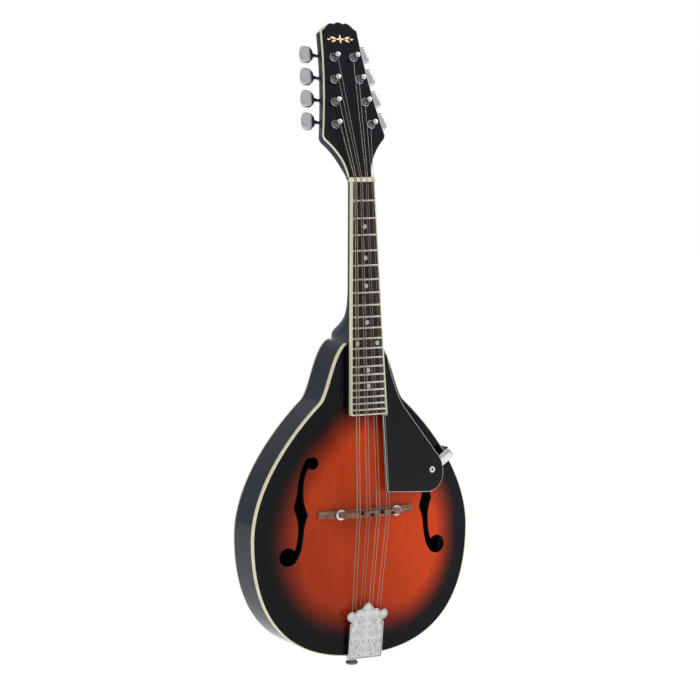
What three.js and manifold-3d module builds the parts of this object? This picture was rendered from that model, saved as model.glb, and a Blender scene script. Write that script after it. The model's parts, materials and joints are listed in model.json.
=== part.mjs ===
// An A-style mandolin: teardrop body with an arched top and back, f-holes, a raised fretboard, a
// two-piece floating bridge, a slide-off tailpiece cover, a raised pickguard and eight geared tuners.
//
// Units are millimetres. +Z runs up the neck, the soundboard faces -Y and +X is the treble side.
// The origin is the centre of the strap button's flat end face, midway through the body's depth.
import * as THREE from "three";
import { mergeVertices } from "three/addons/utils/BufferGeometryUtils.js";
import Module from "manifold-3d";

const wasm = await Module();
wasm.setup();

// ---------------------------------------------------------------- driving dimensions
const DEG = Math.PI / 180;
const GLUE = 0.1; // glue line between two pieces of wood
const GAP = 0.3; // clearance round a piece that is let in, cut or turned

const SCALE = 350; // nut to saddle
const FRETS = 20;
const NECK_TILT = 3 * DEG; // strings' plane against the body
const HEAD_TILT = 14.2 * DEG; // head leaned back from the neck

const RIM_FRONT = -24; // soundboard edge
const RIM_BACK = 24;
const TAIL = 15; // tail end of the rim, above the strap button's face
const BODY_END = TAIL + 335; // where the heel meets the body
const RIM_THICK = 2.6;
const TOP_EDGE = 4.9; // thickness at the rim
const BACK_EDGE = 3;
const TOP_ARCH = 7;
const BACK_ARCH = 8;
const ARCH_CENTRE = TAIL + 135; // height of the arches' crown
const BINDING = 1.3;
const TOP_BINDING_DEPTH = 4.9;
const LINING = { width: 6, depth: 9 };
const NECK_BLOCK = { half: 18, start: 300 };
const TAIL_BLOCK = { half: 26, end: 44 };

const NUT = { y: -26.65, z: 520.1, width: 28.6, thick: 5, front: -1.1 };
const BOARD = { thick: 5, nutHalf: 13.75, widening: 0.0325, binding: 1.5, end: 245.8 };
const FRET = { width: 2, height: 0.8 };
const HEAD = { thick: 14, veneer: 1.5, binding: 0.8, bindingDepth: 3 };

const COURSES = ["g", "d", "a", "e"]; // bass to treble, two strings each
const STRING_RADIUS = { g: 0.5, d: 0.35, a: 0.25, e: 0.22 };
const NUT_SPREAD = { course: 6.75, pair: 2.1 };
const SADDLE_SPREAD = { course: 12, pair: 3.6 };
const HOOK_SPREAD = { course: 9.5, pair: 3.8 };

const SADDLE_Z = NUT.z - SCALE * Math.cos(NECK_TILT);
const BRIDGE = {
  halfLength: 57,
  halfDepth: 4.3, // along the strings
  front: -36, // face that the thumbwheels stand over
  saddleHalf: 36,
  saddleBack: -39.1,
  saddleTop: -48.3,
  studX: 33.4,
  studFoot: -33.2, // bottom of the studs' holes in the base
  studReach: 3.4, // of the studs into the saddle
  studHole: 4.9, // depth of the saddle's holes, so that it can be lowered
};
const STUD_RADIUS = 1.7;
const WHEEL = { radius: 5.8, thick: 1.8 };

const POST = { radius: 2.9, first: 62.9, firstX: 21.3, lastX: 11.9, rise: 24.77, top: -12.5 };
const POST_HOLE = 3.3;
const GEAR = { teeth: 14, radius: 4.4, front: 16.2, back: 20 };
const WORM = { radius: 1.65, half: 3.6, shaft: 1.2, tip: -6.6 };
const WORM_OFFSET = GEAR.radius + WORM.radius + 0.25; // from the post's axis
const WORM_DEPTH = (GEAR.front + GEAR.back) / 2;

const STRAP_BUTTON = { face: 6, rim: 7, waist: 3.4, flange: 5.6, shank: 2.8 };
const TAIL_SCREW = { x: 9, y: 3 };
const TAILPIECE = { sheet: 1.2, half: 18, legHalf: 13, top: 60, legEnd: 9 };
const HOOK = { z: 47, tip: -30.6, half: 0.7 };
const COVER = { tilt: 7.5 * DEG, y: -29.7, z: 11.8, half: 20.3, shoulder: 39.5, sheet: 1, flange: 5 };
const PICKGUARD = { front: 1.5, back: 3.6 }; // below the fretboard's face
const EYELET = { x: 76, z: 212 };
const BRACKET = { sheet: 1.2, half: 6, legEnd: -5, screwY: -11 };
const BRACKET_WAY = new THREE.Vector2(0.835, 0.55).normalize(); // from the eyelet to the body's edge

// ---------------------------------------------------------------- finishes
const FINISHES = {
  blackLacquer: { color: 0x222529, roughness: 0.15, metalness: 0 },
  sunburst: { color: 0xb84020, roughness: 0.15, metalness: 0 },
  cream: { color: 0xded8b7, roughness: 0.4, metalness: 0 },
  bone: { color: 0xe6dfc4, roughness: 0.45, metalness: 0 },
  rosewood: { color: 0x3a2420, roughness: 0.6, metalness: 0 },
  spruce: { color: 0xd9b98a, roughness: 0.7, metalness: 0 },
  blackPlastic: { color: 0x2a292d, roughness: 0.3, metalness: 0 },
  chrome: { color: 0xd2d4d5, roughness: 0.15, metalness: 1 },
  nickel: { color: 0xc4c6c8, roughness: 0.3, metalness: 1 },
  steel: { color: 0xb9b5a8, roughness: 0.35, metalness: 1 },
  bronze: { color: 0xb39a76, roughness: 0.4, metalness: 1 },
};

const mandolin = new THREE.Group();

function addPiece(name, finish, geometry, parent = mandolin) {
  const mesh = new THREE.Mesh(geometry, new THREE.MeshStandardMaterial(FINISHES[finish]));
  mesh.name = name;
  parent.add(mesh);
  return mesh;
}

// ---------------------------------------------------------------- solids
function solidOf(geometry, matrix) {
  const source = geometry.index ? geometry.toNonIndexed() : geometry.clone();
  const bare = new THREE.BufferGeometry();
  bare.setAttribute("position", source.getAttribute("position"));
  if (matrix) bare.applyMatrix4(matrix);
  const merged = mergeVertices(bare, 1e-4);
  const mesh = new wasm.Mesh({
    numProp: 3,
    vertProperties: merged.attributes.position.array,
    triVerts: new Uint32Array(merged.index.array),
  });
  return new wasm.Manifold(mesh);
}

function geometryOf(solid) {
  const mesh = solid.getMesh();
  const geometry = new THREE.BufferGeometry();
  geometry.setAttribute("position", new THREE.BufferAttribute(mesh.vertProperties, 3));
  geometry.setIndex(new THREE.BufferAttribute(mesh.triVerts, 1));
  const flat = geometry.toNonIndexed();
  flat.computeVertexNormals();
  return flat;
}

const join = (geometries) =>
  geometryOf(geometries.map((g) => solidOf(g)).reduce((whole, piece) => whole.add(piece)));

const cut = (geometry, cutters) =>
  geometryOf(cutters.reduce((rest, cutter) => rest.subtract(solidOf(cutter)), solidOf(geometry)));

// A closed solid from vertices and triangles, turned to face outwards.
function closedGeometry(points, triangles) {
  let volume = 0;
  for (const [a, b, c] of triangles) {
    volume += points[a].dot(points[b].clone().cross(points[c]));
  }
  const facing = volume > 0 ? triangles : triangles.map(([a, b, c]) => [a, c, b]);
  const corners = facing.flatMap((t) => t.map((i) => points[i]));
  return new THREE.BufferGeometry().setFromPoints(corners);
}

// A solid through rings of equal length, closed by a fan at each end, so its end rings are convex.
function loft(rings) {
  const n = rings[0].length;
  const triangles = [];
  for (let r = 0; r + 1 < rings.length; r++) {
    for (let i = 0; i < n; i++) {
      const [a, b] = [r * n + i, r * n + ((i + 1) % n)];
      triangles.push([a, b, b + n], [a, b + n, a + n]);
    }
  }
  const last = (rings.length - 1) * n;
  for (let i = 1; i + 1 < n; i++) {
    triangles.push([0, i + 1, i], [last, last + i, last + i + 1]);
  }
  return closedGeometry(rings.flat(), triangles);
}

// A round rod through points; each ring lies square to the bend it sits on.
function rod(points, radius, sides = 6) {
  const side = new THREE.Vector3(1, 0, 0);
  const rings = points.map((point, i) => {
    const before = points[Math.max(i - 1, 0)];
    const after = points[Math.min(i + 1, points.length - 1)];
    const along = after.clone().sub(before).normalize();
    const u = side.clone().addScaledVector(along, -side.dot(along)).normalize();
    const v = along.clone().cross(u);
    return Array.from({ length: sides }, (_, k) => {
      const turn = ((k + 0.5) / sides) * 2 * Math.PI;
      return point
        .clone()
        .addScaledVector(u, radius * Math.cos(turn))
        .addScaledVector(v, radius * Math.sin(turn));
    });
  });
  return loft(rings);
}

const asShape = (outline) => (outline instanceof THREE.Shape ? outline : new THREE.Shape(outline));

// A flat outline in X and Z, between two depths in Y.
function slab(outline, front, back, curveSegments = 6) {
  const options = { depth: back - front, bevelEnabled: false, curveSegments };
  const basis = new THREE.Matrix4().makeBasis(
    new THREE.Vector3(1, 0, 0),
    new THREE.Vector3(0, 0, 1),
    new THREE.Vector3(0, -1, 0),
  );
  return new THREE.ExtrudeGeometry(asShape(outline), options).applyMatrix4(basis).translate(0, back, 0);
}

// A flat outline in Y and Z, centred on x and reaching half on either side of it.
function sideSlab(outline, half, x = 0) {
  const options = { depth: 2 * half, bevelEnabled: false };
  const basis = new THREE.Matrix4().makeBasis(
    new THREE.Vector3(0, 1, 0),
    new THREE.Vector3(0, 0, 1),
    new THREE.Vector3(1, 0, 0),
  );
  return new THREE.ExtrudeGeometry(asShape(outline), options).applyMatrix4(basis).translate(x - half, 0, 0);
}

const vec2 = (pairs) => pairs.map(([a, b]) => new THREE.Vector2(a, b));

function box(x0, x1, y0, y1, z0, z1) {
  return new THREE.BoxGeometry(x1 - x0, y1 - y0, z1 - z0).translate(
    (x0 + x1) / 2,
    (y0 + y1) / 2,
    (z0 + z1) / 2,
  );
}

// Turned about Y: the profile is [radius, y] pairs that start and end on the axis.
const turnedOnY = (profile, sides = 16) => new THREE.LatheGeometry(vec2(profile), sides);
const turnedOnX = (profile, sides = 16) => turnedOnY(profile, sides).rotateZ(-90 * DEG);
const turnedOnZ = (profile, sides = 16) => turnedOnY(profile, sides).rotateX(90 * DEG);

const boreOnY = (x, z, radius, front, back, sides = 10) =>
  new THREE.CylinderGeometry(radius, radius, back - front, sides).translate(x, (front + back) / 2, z);

// ---------------------------------------------------------------- body outline
// One side of the body from the tail to the neck, as [curve, number of straight pieces].
const bezier = (...pairs) => new THREE.CubicBezierCurve(...vec2(pairs));
const WIDEST = { x: 129.6, z: TAIL + 131 };
const FLARE = { x: 51, z: TAIL + 272 };
const NECK_JOINT = { x: 20, z: BODY_END };
const SIDE_CURVES = [
  [bezier([0, TAIL], [12, TAIL], [WIDEST.x, TAIL - 10], [WIDEST.x, WIDEST.z]), 13],
  [bezier([WIDEST.x, WIDEST.z], [WIDEST.x, TAIL + 198], [66.8, TAIL + 258], [FLARE.x, FLARE.z]), 8],
  [bezier([FLARE.x, FLARE.z], [40.2, TAIL + 281], [36, TAIL + 323], [NECK_JOINT.x, NECK_JOINT.z]), 8],
];

// The treble side, tail to neck, drawn a distance inside the rim's outer face.
function sideLine(inset, end = Infinity) {
  const line = [];
  SIDE_CURVES.forEach(([curve, pieces], index) => {
    for (let i = index ? 1 : 0; i <= pieces; i++) {
      const point = curve.getPointAt(i / pieces);
      const along = curve.getTangentAt(i / pieces);
      line.push(new THREE.Vector2(point.x - along.y * inset, point.y + along.x * inset));
    }
  });
  return line.filter((point) => point.y < end);
}

const mirrored = (line) => line.map((point) => new THREE.Vector2(-point.x, point.y));

// Bass neck end, round the tail, to the treble neck end.
const wholeLine = (inset, end) => {
  const treble = sideLine(inset, end);
  return [...mirrored(treble.slice(1)).reverse(), ...treble];
};

const bentStrip = (outer, inner, end) => [...wholeLine(outer, end), ...wholeLine(inner, end).reverse()];

// ---------------------------------------------------------------- arched plates
const PLATE_INSET = BINDING + GLUE;
const PLATE_LINE = wholeLine(PLATE_INSET);
const archShape = (share) => Math.pow(Math.max(0, 1 - share * share), 1.5);
const TOP_INNER_ARCH = TOP_ARCH + 1.2; // the plate is thinner in the middle
const topFront = (share) => RIM_FRONT - TOP_ARCH * archShape(share);
const topBack = (share) => RIM_FRONT + TOP_EDGE - TOP_INNER_ARCH * archShape(share);
const backBack = (share) => RIM_BACK + BACK_ARCH * archShape(share);
const backFront = (share) => RIM_BACK - BACK_EDGE + BACK_ARCH * archShape(share);

// How far (x, z) lies from the arch's centre, as a share of the way to the plate's edge.
function edgeShare(x, z) {
  const ray = new THREE.Vector2(x, z - ARCH_CENTRE);
  if (ray.length() < 1e-6) return 0;
  const n = PLATE_LINE.length;
  for (let i = 0; i < n; i++) {
    const a = PLATE_LINE[i].clone().sub(new THREE.Vector2(0, ARCH_CENTRE));
    const b = PLATE_LINE[(i + 1) % n].clone().sub(new THREE.Vector2(0, ARCH_CENTRE));
    const edge = b.clone().sub(a);
    const turn = ray.cross(edge);
    if (Math.abs(turn) < 1e-9) continue;
    const reach = a.cross(edge) / turn;
    const along = a.cross(ray) / turn;
    if (reach > 0 && along >= -1e-9 && along <= 1 + 1e-9) return 1 / reach;
  }
  return 1;
}

const topSurface = (x, z) => topFront(edgeShare(x, z));
const topUnderside = (x, z) => topBack(edgeShare(x, z));

function archedPlate(front, back) {
  const shares = [1, 0.92, 0.78, 0.58, 0.32];
  const n = PLATE_LINE.length;
  const points = [];
  for (const level of [front, back]) {
    for (const share of shares) {
      for (const edge of PLATE_LINE) {
        const z = ARCH_CENTRE + (edge.y - ARCH_CENTRE) * share;
        points.push(new THREE.Vector3(edge.x * share, level(share), z));
      }
    }
    points.push(new THREE.Vector3(0, level(0), ARCH_CENTRE));
  }
  const perFace = shares.length * n + 1;
  const triangles = [];
  [0, 1].forEach((face) => {
    const start = face * perFace;
    const add = (a, b, c) => triangles.push(face ? [a, c, b] : [a, b, c]);
    for (let r = 0; r < shares.length; r++) {
      for (let i = 0; i < n; i++) {
        const [a, b] = [start + r * n + i, start + r * n + ((i + 1) % n)];
        if (r + 1 < shares.length) {
          add(a, b, b + n);
          add(a, b + n, a + n);
        } else {
          add(a, b, start + perFace - 1);
        }
      }
    }
  });
  for (let i = 0; i < n; i++) {
    const j = (i + 1) % n;
    triangles.push([i, perFace + j, j], [i, perFace + i, perFace + j]);
  }
  return closedGeometry(points, triangles);
}

// ---------------------------------------------------------------- body
const F_HOLE = {
  upper: { x: 60.5, z: 225.5, radius: 6.6 },
  lower: { x: 90, z: 128, radius: 9.8 },
};

// The stem of the treble f-hole: a slim S with a notch halfway down each edge.
const F_STEM = vec2([
  [60, 231],
  [67, 230],
  [73, 221],
  [77, 208],
  [79, 194],
  [83.5, 179.5],
  [79.5, 168],
  [78.6, 155],
  [80.5, 141],
  [84, 131],
  [88, 119],
  [82, 121],
  [76.5, 130],
  [73.4, 143],
  [71.3, 158],
  [67.2, 171.5],
  [71, 184],
  [72, 197],
  [70, 211],
  [65.5, 221],
]);

function fHoleCutters(side) {
  const stem = side > 0 ? F_STEM : mirrored(F_STEM);
  const [front, back] = [RIM_FRONT - 2 * TOP_ARCH, RIM_FRONT + 2 * TOP_EDGE];
  return [
    slab(stem, front, back),
    boreOnY(side * F_HOLE.upper.x, F_HOLE.upper.z, F_HOLE.upper.radius, front, back, 20),
    boreOnY(side * F_HOLE.lower.x, F_HOLE.lower.z, F_HOLE.lower.radius, front, back, 24),
  ];
}

const RIM_TOP_Y = RIM_FRONT + TOP_EDGE + GLUE;
const RIM_BOTTOM_Y = RIM_BACK - BACK_EDGE - GLUE;

// The strap button's shank passes through the tailpiece's leg, the rim and the tail block.
const shankHole = () => {
  const radius = STRAP_BUTTON.shank + GAP;
  return new THREE.CylinderGeometry(radius, radius, 60, 12).rotateX(90 * DEG).translate(0, 0, 20);
};

function addBody() {
  const cutters = [...fHoleCutters(1), ...fHoleCutters(-1)];
  addPiece("top_plate", "sunburst", cut(archedPlate(topFront, topBack), cutters));
  addPiece("back_plate", "blackLacquer", archedPlate(backFront, backBack));

  const shank = shankHole();
  for (const [name, turn] of [["rim_treble_side", 1], ["rim_bass_side", -1]]) {
    const half = [...sideLine(0), ...sideLine(RIM_THICK).reverse()];
    const wall = slab(turn > 0 ? half : mirrored(half), RIM_TOP_Y, RIM_BOTTOM_Y);
    addPiece(name, "blackLacquer", cut(wall, turn > 0 ? [shank, bracketScrewHole()] : [shank]));
  }

  const frontEdge = slab(bentStrip(0, BINDING), RIM_FRONT, RIM_FRONT + TOP_BINDING_DEPTH);
  addPiece("binding_top", "cream", frontEdge);
  addPiece("binding_back", "cream", slab(bentStrip(0, BINDING), RIM_BACK - BACK_EDGE, RIM_BACK));

  const liningOuter = RIM_THICK + GLUE;
  const lining = bentStrip(liningOuter, liningOuter + LINING.width, NECK_BLOCK.start - 3);
  addPiece("lining_top", "spruce", slab(lining, RIM_TOP_Y, RIM_TOP_Y + LINING.depth));
  addPiece("lining_back", "spruce", slab(lining, RIM_BOTTOM_Y - LINING.depth, RIM_BOTTOM_Y));

  const { half, start } = NECK_BLOCK;
  addPiece("neck_block", "spruce", box(-half, half, RIM_TOP_Y, RIM_BOTTOM_Y, start, BODY_END - GLUE));

  const tailEdge = wholeLine(liningOuter, TAIL + 15).filter((point) => Math.abs(point.x) < TAIL_BLOCK.half);
  const inner = TAIL_BLOCK.half - 2;
  const tailBlock = [...tailEdge, ...vec2([[inner, TAIL_BLOCK.end], [-inner, TAIL_BLOCK.end]])];
  const front = RIM_TOP_Y + LINING.depth + GLUE;
  const tailSlab = slab(tailBlock, front, RIM_BOTTOM_Y - LINING.depth - GLUE);
  addPiece("tail_block", "spruce", cut(tailSlab, [shank]));

  addPiece("tone_bar_bass", "spruce", toneBar(-1));
  addPiece("tone_bar_treble", "spruce", toneBar(1));
}

// A brace glued under the top, following its arch and tapering away at both ends.
function toneBar(side) {
  const [start, end, halfWidth, height] = [85, 262, 3, 9];
  const rings = [];
  for (let i = 0; i <= 8; i++) {
    const share = i / 8;
    const z = start + (end - start) * share;
    const x = side * (38 - 14 * share);
    const front = topUnderside(x, z) + 2 * GAP;
    const back = front + 2.5 + (height - 2.5) * Math.sin(Math.PI * share);
    rings.push([
      new THREE.Vector3(x - halfWidth, front, z),
      new THREE.Vector3(x + halfWidth, front, z),
      new THREE.Vector3(x + halfWidth, back, z),
      new THREE.Vector3(x - halfWidth, back, z),
    ]);
  }
  return loft(rings);
}

// ---------------------------------------------------------------- neck, fretboard and head
// The neck frame starts at the nut, on the fretboard's face. The head frame starts on the head's face.
const neckFrame = new THREE.Group();
neckFrame.position.set(0, NUT.y, NUT.z);
neckFrame.rotation.x = -NECK_TILT;
mandolin.add(neckFrame);

const headFrame = new THREE.Group();
headFrame.position.set(0, BOARD.thick, 0);
headFrame.rotation.x = -HEAD_TILT;
neckFrame.add(headFrame);
mandolin.updateMatrixWorld(true);

const fretDistance = (n) => SCALE * (1 - Math.pow(2, -n / 12));
const boardHalf = (distance) => BOARD.nutHalf + BOARD.widening * distance;

// Trapezoid of the board with rounded corners at the body end, drawn a distance inside its edge.
function boardOutline(inset, corner) {
  const end = BOARD.end - inset;
  const shape = new THREE.Shape();
  const [nutX, endX] = [boardHalf(0) - inset, boardHalf(end) - inset];
  shape.moveTo(nutX, 0);
  shape.lineTo(-nutX, 0);
  shape.lineTo(-boardHalf(end - corner) + inset, corner - end);
  shape.quadraticCurveTo(-endX, -end, corner - endX, -end);
  shape.lineTo(endX - corner, -end);
  shape.quadraticCurveTo(endX, -end, boardHalf(end - corner) - inset, corner - end);
  return shape.getPoints(3);
}

function fretWire(n) {
  const distance = fretDistance(n);
  const half = boardHalf(distance) - BOARD.binding - 2 * GLUE;
  const root = 0.5; // set into the wood
  const section = [
    [root, -FRET.width / 2],
    [-0.3 * FRET.height, -FRET.width / 2],
    [-FRET.height, -FRET.width / 4],
    [-FRET.height, FRET.width / 4],
    [-0.3 * FRET.height, FRET.width / 2],
    [root, FRET.width / 2],
  ];
  return loft([-half, half].map((x) => section.map(([y, z]) => new THREE.Vector3(x, y, z - distance))));
}

function addFretboard() {
  const board = slab(boardOutline(BOARD.binding + GLUE, 2), 0, BOARD.thick);
  const wires = Array.from({ length: FRETS }, (_, i) => fretWire(i + 1));
  addPiece("fretboard", "rosewood", join([board, ...wires]), neckFrame);

  const outer = boardOutline(0, 3);
  const inner = boardOutline(BOARD.binding, 1.8);
  const strip = [...outer.slice(1), outer[0], inner[0], ...inner.slice(1).reverse()];
  addPiece("fretboard_binding", "cream", slab(strip, 0, BOARD.thick), neckFrame);

  const foot = BOARD.thick + 1.4;
  const nut = vec2([
    [NUT.front, GLUE / 2],
    [foot, GLUE / 2],
    [foot, NUT.thick],
    [NUT.front + 1.7, NUT.thick], // the crest slopes down towards the head
  ]);
  addPiece("nut", "bone", sideSlab(nut, NUT.width / 2), neckFrame);
}

// The head's outline, from the nut round the crown and back to the nut.
const HEAD_START = NUT.thick + 1;
function headOutline(inset, start) {
  const shape = new THREE.Shape();
  const side = (x) => x - inset;
  shape.moveTo(side(13.9), start);
  if (start < HEAD_START) shape.lineTo(side(13.9), HEAD_START);
  shape.bezierCurveTo(side(14.4), 20, side(21.5), 33.5, side(33.4), 45 + inset * 0.4);
  shape.quadraticCurveTo(side(37.6), 48.6 + inset * 0.3, side(36.7), 53);
  shape.quadraticCurveTo(side(24.7), 110, side(21.6), 167.5 - inset * 0.5);
  shape.quadraticCurveTo(side(18.5), 169.6 - inset, side(15.5), 173 - inset);
  shape.quadraticCurveTo(side(11), 177.8 - inset, side(6), 175.4 - inset);
  shape.quadraticCurveTo(2.5, 177.4 - inset, 0, 177.4 - inset);
  const half = shape.getPoints(5);
  return [...half, ...mirrored(half.slice(0, -1)).reverse()];
}

const postAt = (side, index) => {
  const share = index / 3;
  const x = POST.firstX + (POST.lastX - POST.firstX) * share;
  return { x: side * x, z: POST.first + POST.rise * index };
};

function postHoles(front, back) {
  return [-1, 1].flatMap((side) =>
    [0, 1, 2, 3].map((index) => {
      const { x, z } = postAt(side, index);
      return boreOnY(x, z, POST_HOLE, front, back);
    }),
  );
}

// Sections of the neck: distance from the nut, total depth behind the board's face and half-width of
// the flat at the back. Beyond 116 mm they turn down into the heel.
const HEEL = { depth: 59.4, half: 10 };
const NECK_SECTIONS = [
  [0, 20, 1],
  [60, 20.6, 1],
  [116, 22, 1],
  [130, 24, 2.5],
  [140, 28.5, 5],
  [147, 35, 7],
  [152, 44, 8.5],
  [154.5, 53, 9.5],
  [155.5, HEEL.depth - 0.5, HEEL.half],
];

// A ring square to the neck, or one lying in the plane across the body at height cutPlane.
function neckRing(distance, depth, flat, cutPlane) {
  const half = boardHalf(distance);
  const front = BOARD.thick + GLUE;
  const quarter = Array.from({ length: 6 }, (_, i) => {
    const turn = (i / 5) * 90 * DEG;
    const x = flat + (half - flat) * Math.cos(turn);
    return [x, front + (depth - front) * Math.sin(turn)];
  });
  const section = [...quarter, ...quarter.map(([x, y]) => [-x, y]).reverse()];
  return section.map(([x, y]) => {
    const squareToBody = (NUT.z - cutPlane) / Math.cos(NECK_TILT) - y * Math.tan(NECK_TILT);
    return new THREE.Vector3(x, y, cutPlane ? -squareToBody : -distance);
  });
}

function neckSolid() {
  const rings = NECK_SECTIONS.map(([distance, depth, flat]) => neckRing(distance, depth, flat));
  const heelEnd = NUT.z - BODY_END;
  rings.push(neckRing(heelEnd, HEEL.depth, HEEL.half, BODY_END + GLUE));
  const shaft = solidOf(loft(rings), neckFrame.matrixWorld);

  const buried = -5; // the head's wood runs back into the neck
  const core = slab(headOutline(HEAD.binding, buried), HEAD.veneer + GLUE, HEAD.thick);
  const sides = slab(headOutline(0, buried), HEAD.bindingDepth + GLUE, HEAD.thick);
  const headWood = solidOf(core).add(solidOf(sides));
  const drilled = postHoles(-5, 30).reduce((rest, hole) => rest.subtract(solidOf(hole)), headWood);
  const head = solidOf(geometryOf(drilled), headFrame.matrixWorld);

  return geometryOf(shaft.add(head).add(solidOf(boardSupport())));
}

// The neck's tongue carries the fretboard over the soundboard.
function boardSupport() {
  const faceY = (z) => NUT.y - (NUT.z - z) * Math.tan(NECK_TILT);
  const ends = [
    { z: 277, half: 20.8, back: -28 },
    { z: BODY_END + 2, half: 18.6, back: RIM_FRONT - 0.5 },
  ];
  const rings = ends.map(({ z, half, back }) => {
    const front = faceY(z) + BOARD.thick + 2 * GLUE;
    return [
      [-half, front],
      [half, front],
      [half, back],
      [-half, back],
    ].map(([x, y]) => new THREE.Vector3(x, y, z));
  });
  return loft(rings);
}

function addNeck() {
  addPiece("neck", "blackLacquer", neckSolid());

  const veneerLine = headOutline(HEAD.binding + GLUE, HEAD_START);
  const veneer = cut(slab(veneerLine, 0, HEAD.veneer), postHoles(-2, 4));
  addPiece("head_veneer", "blackLacquer", veneer, headFrame);

  const outer = headOutline(0, HEAD_START);
  const inner = headOutline(HEAD.binding - GLUE, HEAD_START);
  const edge = slab([...outer, ...inner.reverse()], 0, HEAD.bindingDepth);
  const rebate = slab(headOutline(HEAD.binding - GLUE / 2, -10), -1, HEAD.bindingDepth + 1);
  addPiece("head_binding", "cream", cut(edge, [rebate]), headFrame);

  const cap = new THREE.Shape();
  cap.moveTo(-HEEL.half, BODY_END + GLUE);
  cap.lineTo(HEEL.half, BODY_END + GLUE);
  cap.lineTo(9.6, BODY_END + 9);
  cap.quadraticCurveTo(8, BODY_END + 15, 0, BODY_END + 15);
  cap.quadraticCurveTo(-8, BODY_END + 15, -9.6, BODY_END + 9);
  addPiece("heel_cap", "blackPlastic", slab(cap, RIM_BACK + 2 * GLUE, RIM_BACK + 2.2, 4));
}

// ---------------------------------------------------------------- tuners
const gearOutline = () =>
  Array.from({ length: 2 * GEAR.teeth }, (_, i) => {
    const turn = (i / (2 * GEAR.teeth)) * 2 * Math.PI;
    const radius = i % 2 ? GEAR.radius - 0.8 : GEAR.radius;
    return new THREE.Vector2(radius * Math.cos(turn), radius * Math.sin(turn));
  });

function postGeometry() {
  const shaft = turnedOnY(
    [
      [0, POST.top],
      [2.4, POST.top],
      [POST.radius, POST.top + 0.6],
      [POST.radius, GEAR.back + 0.8],
      [0, GEAR.back + 0.8],
    ],
    10,
  );
  return join([shaft, slab(gearOutline(), GEAR.front, GEAR.back)]);
}

// Worm, shaft, collar and button, along +X from the middle of the worm.
function keyGeometry() {
  const shaft = turnedOnX(
    [
      [0, WORM.tip],
      [WORM.shaft, WORM.tip],
      [WORM.shaft, -WORM.half],
      [WORM.radius, -WORM.half],
      [WORM.radius, WORM.half],
      [WORM.shaft, WORM.half],
      [WORM.shaft, 7.2],
      [2.2, 8],
      [2.9, 16.5],
      [0, 16.5],
    ],
    8,
  );
  const button = new THREE.Shape();
  button.moveTo(15.6, -3.4);
  button.quadraticCurveTo(17.2, -9.8, 21.6, -9.8);
  button.lineTo(26, -9.6);
  button.quadraticCurveTo(30.4, -8, 30.6, -1.6);
  button.lineTo(30.6, 1.6);
  button.quadraticCurveTo(30.4, 8, 26, 9.6);
  button.lineTo(21.6, 9.8);
  button.quadraticCurveTo(17.2, 9.8, 15.6, 3.4);
  const options = {
    depth: 3,
    bevelEnabled: true,
    bevelThickness: 2,
    bevelSize: 1.4,
    bevelOffset: -1.4,
    bevelSegments: 1,
    curveSegments: 2,
  };
  const body = new THREE.ExtrudeGeometry(button, options).rotateX(90 * DEG).translate(0, 1.5, 0);
  return join([shaft, body]);
}

// Mounting strip with two lugs round every worm shaft; the strip runs parallel to the row of posts.
function tunerPlate(length) {
  const sheet = 1.2;
  const stripHalf = 6.8;
  const lug = { x: 5.2, half: 0.9, reach: 2.4, bore: WORM.shaft + 0.25 };
  const front = HEAD.thick + GLUE;
  const back = front + sheet;
  const strip = box(-stripHalf, stripHalf, front, back, -9, length + 16);
  const lugs = [];
  const holes = [];
  for (let i = 0; i < 4; i++) {
    const z = (length * i) / 3;
    holes.push(boreOnY(0, z, POST_HOLE, front - 2, back + 2));
    for (const x of [-lug.x, lug.x]) {
      const worm = z + WORM_OFFSET;
      const [low, high] = [worm - lug.reach, worm + lug.reach];
      lugs.push(box(x - lug.half, x + lug.half, back - 0.4, WORM_DEPTH + 2.6, low, high));
      const bearing = new THREE.CylinderGeometry(lug.bore, lug.bore, 4, 8).rotateZ(90 * DEG);
      holes.push(bearing.translate(x, WORM_DEPTH, worm));
    }
  }
  return cut(join([strip, ...lugs]), holes);
}

function addTuners() {
  const sides = [["bass", -1], ["treble", 1]];
  for (const [sideName, side] of sides) {
    const [first, last] = [postAt(side, 0), postAt(side, 3)];
    const lean = Math.atan2(last.x - first.x, last.z - first.z);
    const length = Math.hypot(last.x - first.x, last.z - first.z);
    const row = new THREE.Group();
    row.position.set(first.x, 0, first.z);
    row.rotation.y = lean;
    headFrame.add(row);
    addPiece("tuner_plate_" + sideName, "nickel", tunerPlate(length), row);
    for (let i = 0; i < 4; i++) {
      const z = (length * i) / 3;
      const post = addPiece(`tuner_post_${sideName}_${i + 1}`, "chrome", postGeometry(), row);
      post.position.z = z;
      const key = addPiece(`tuner_key_${sideName}_${i + 1}`, "chrome", keyGeometry(), row);
      key.position.set(0, WORM_DEPTH, z + WORM_OFFSET);
      key.rotation.z = side > 0 ? 0 : Math.PI;
    }
  }
}

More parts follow.
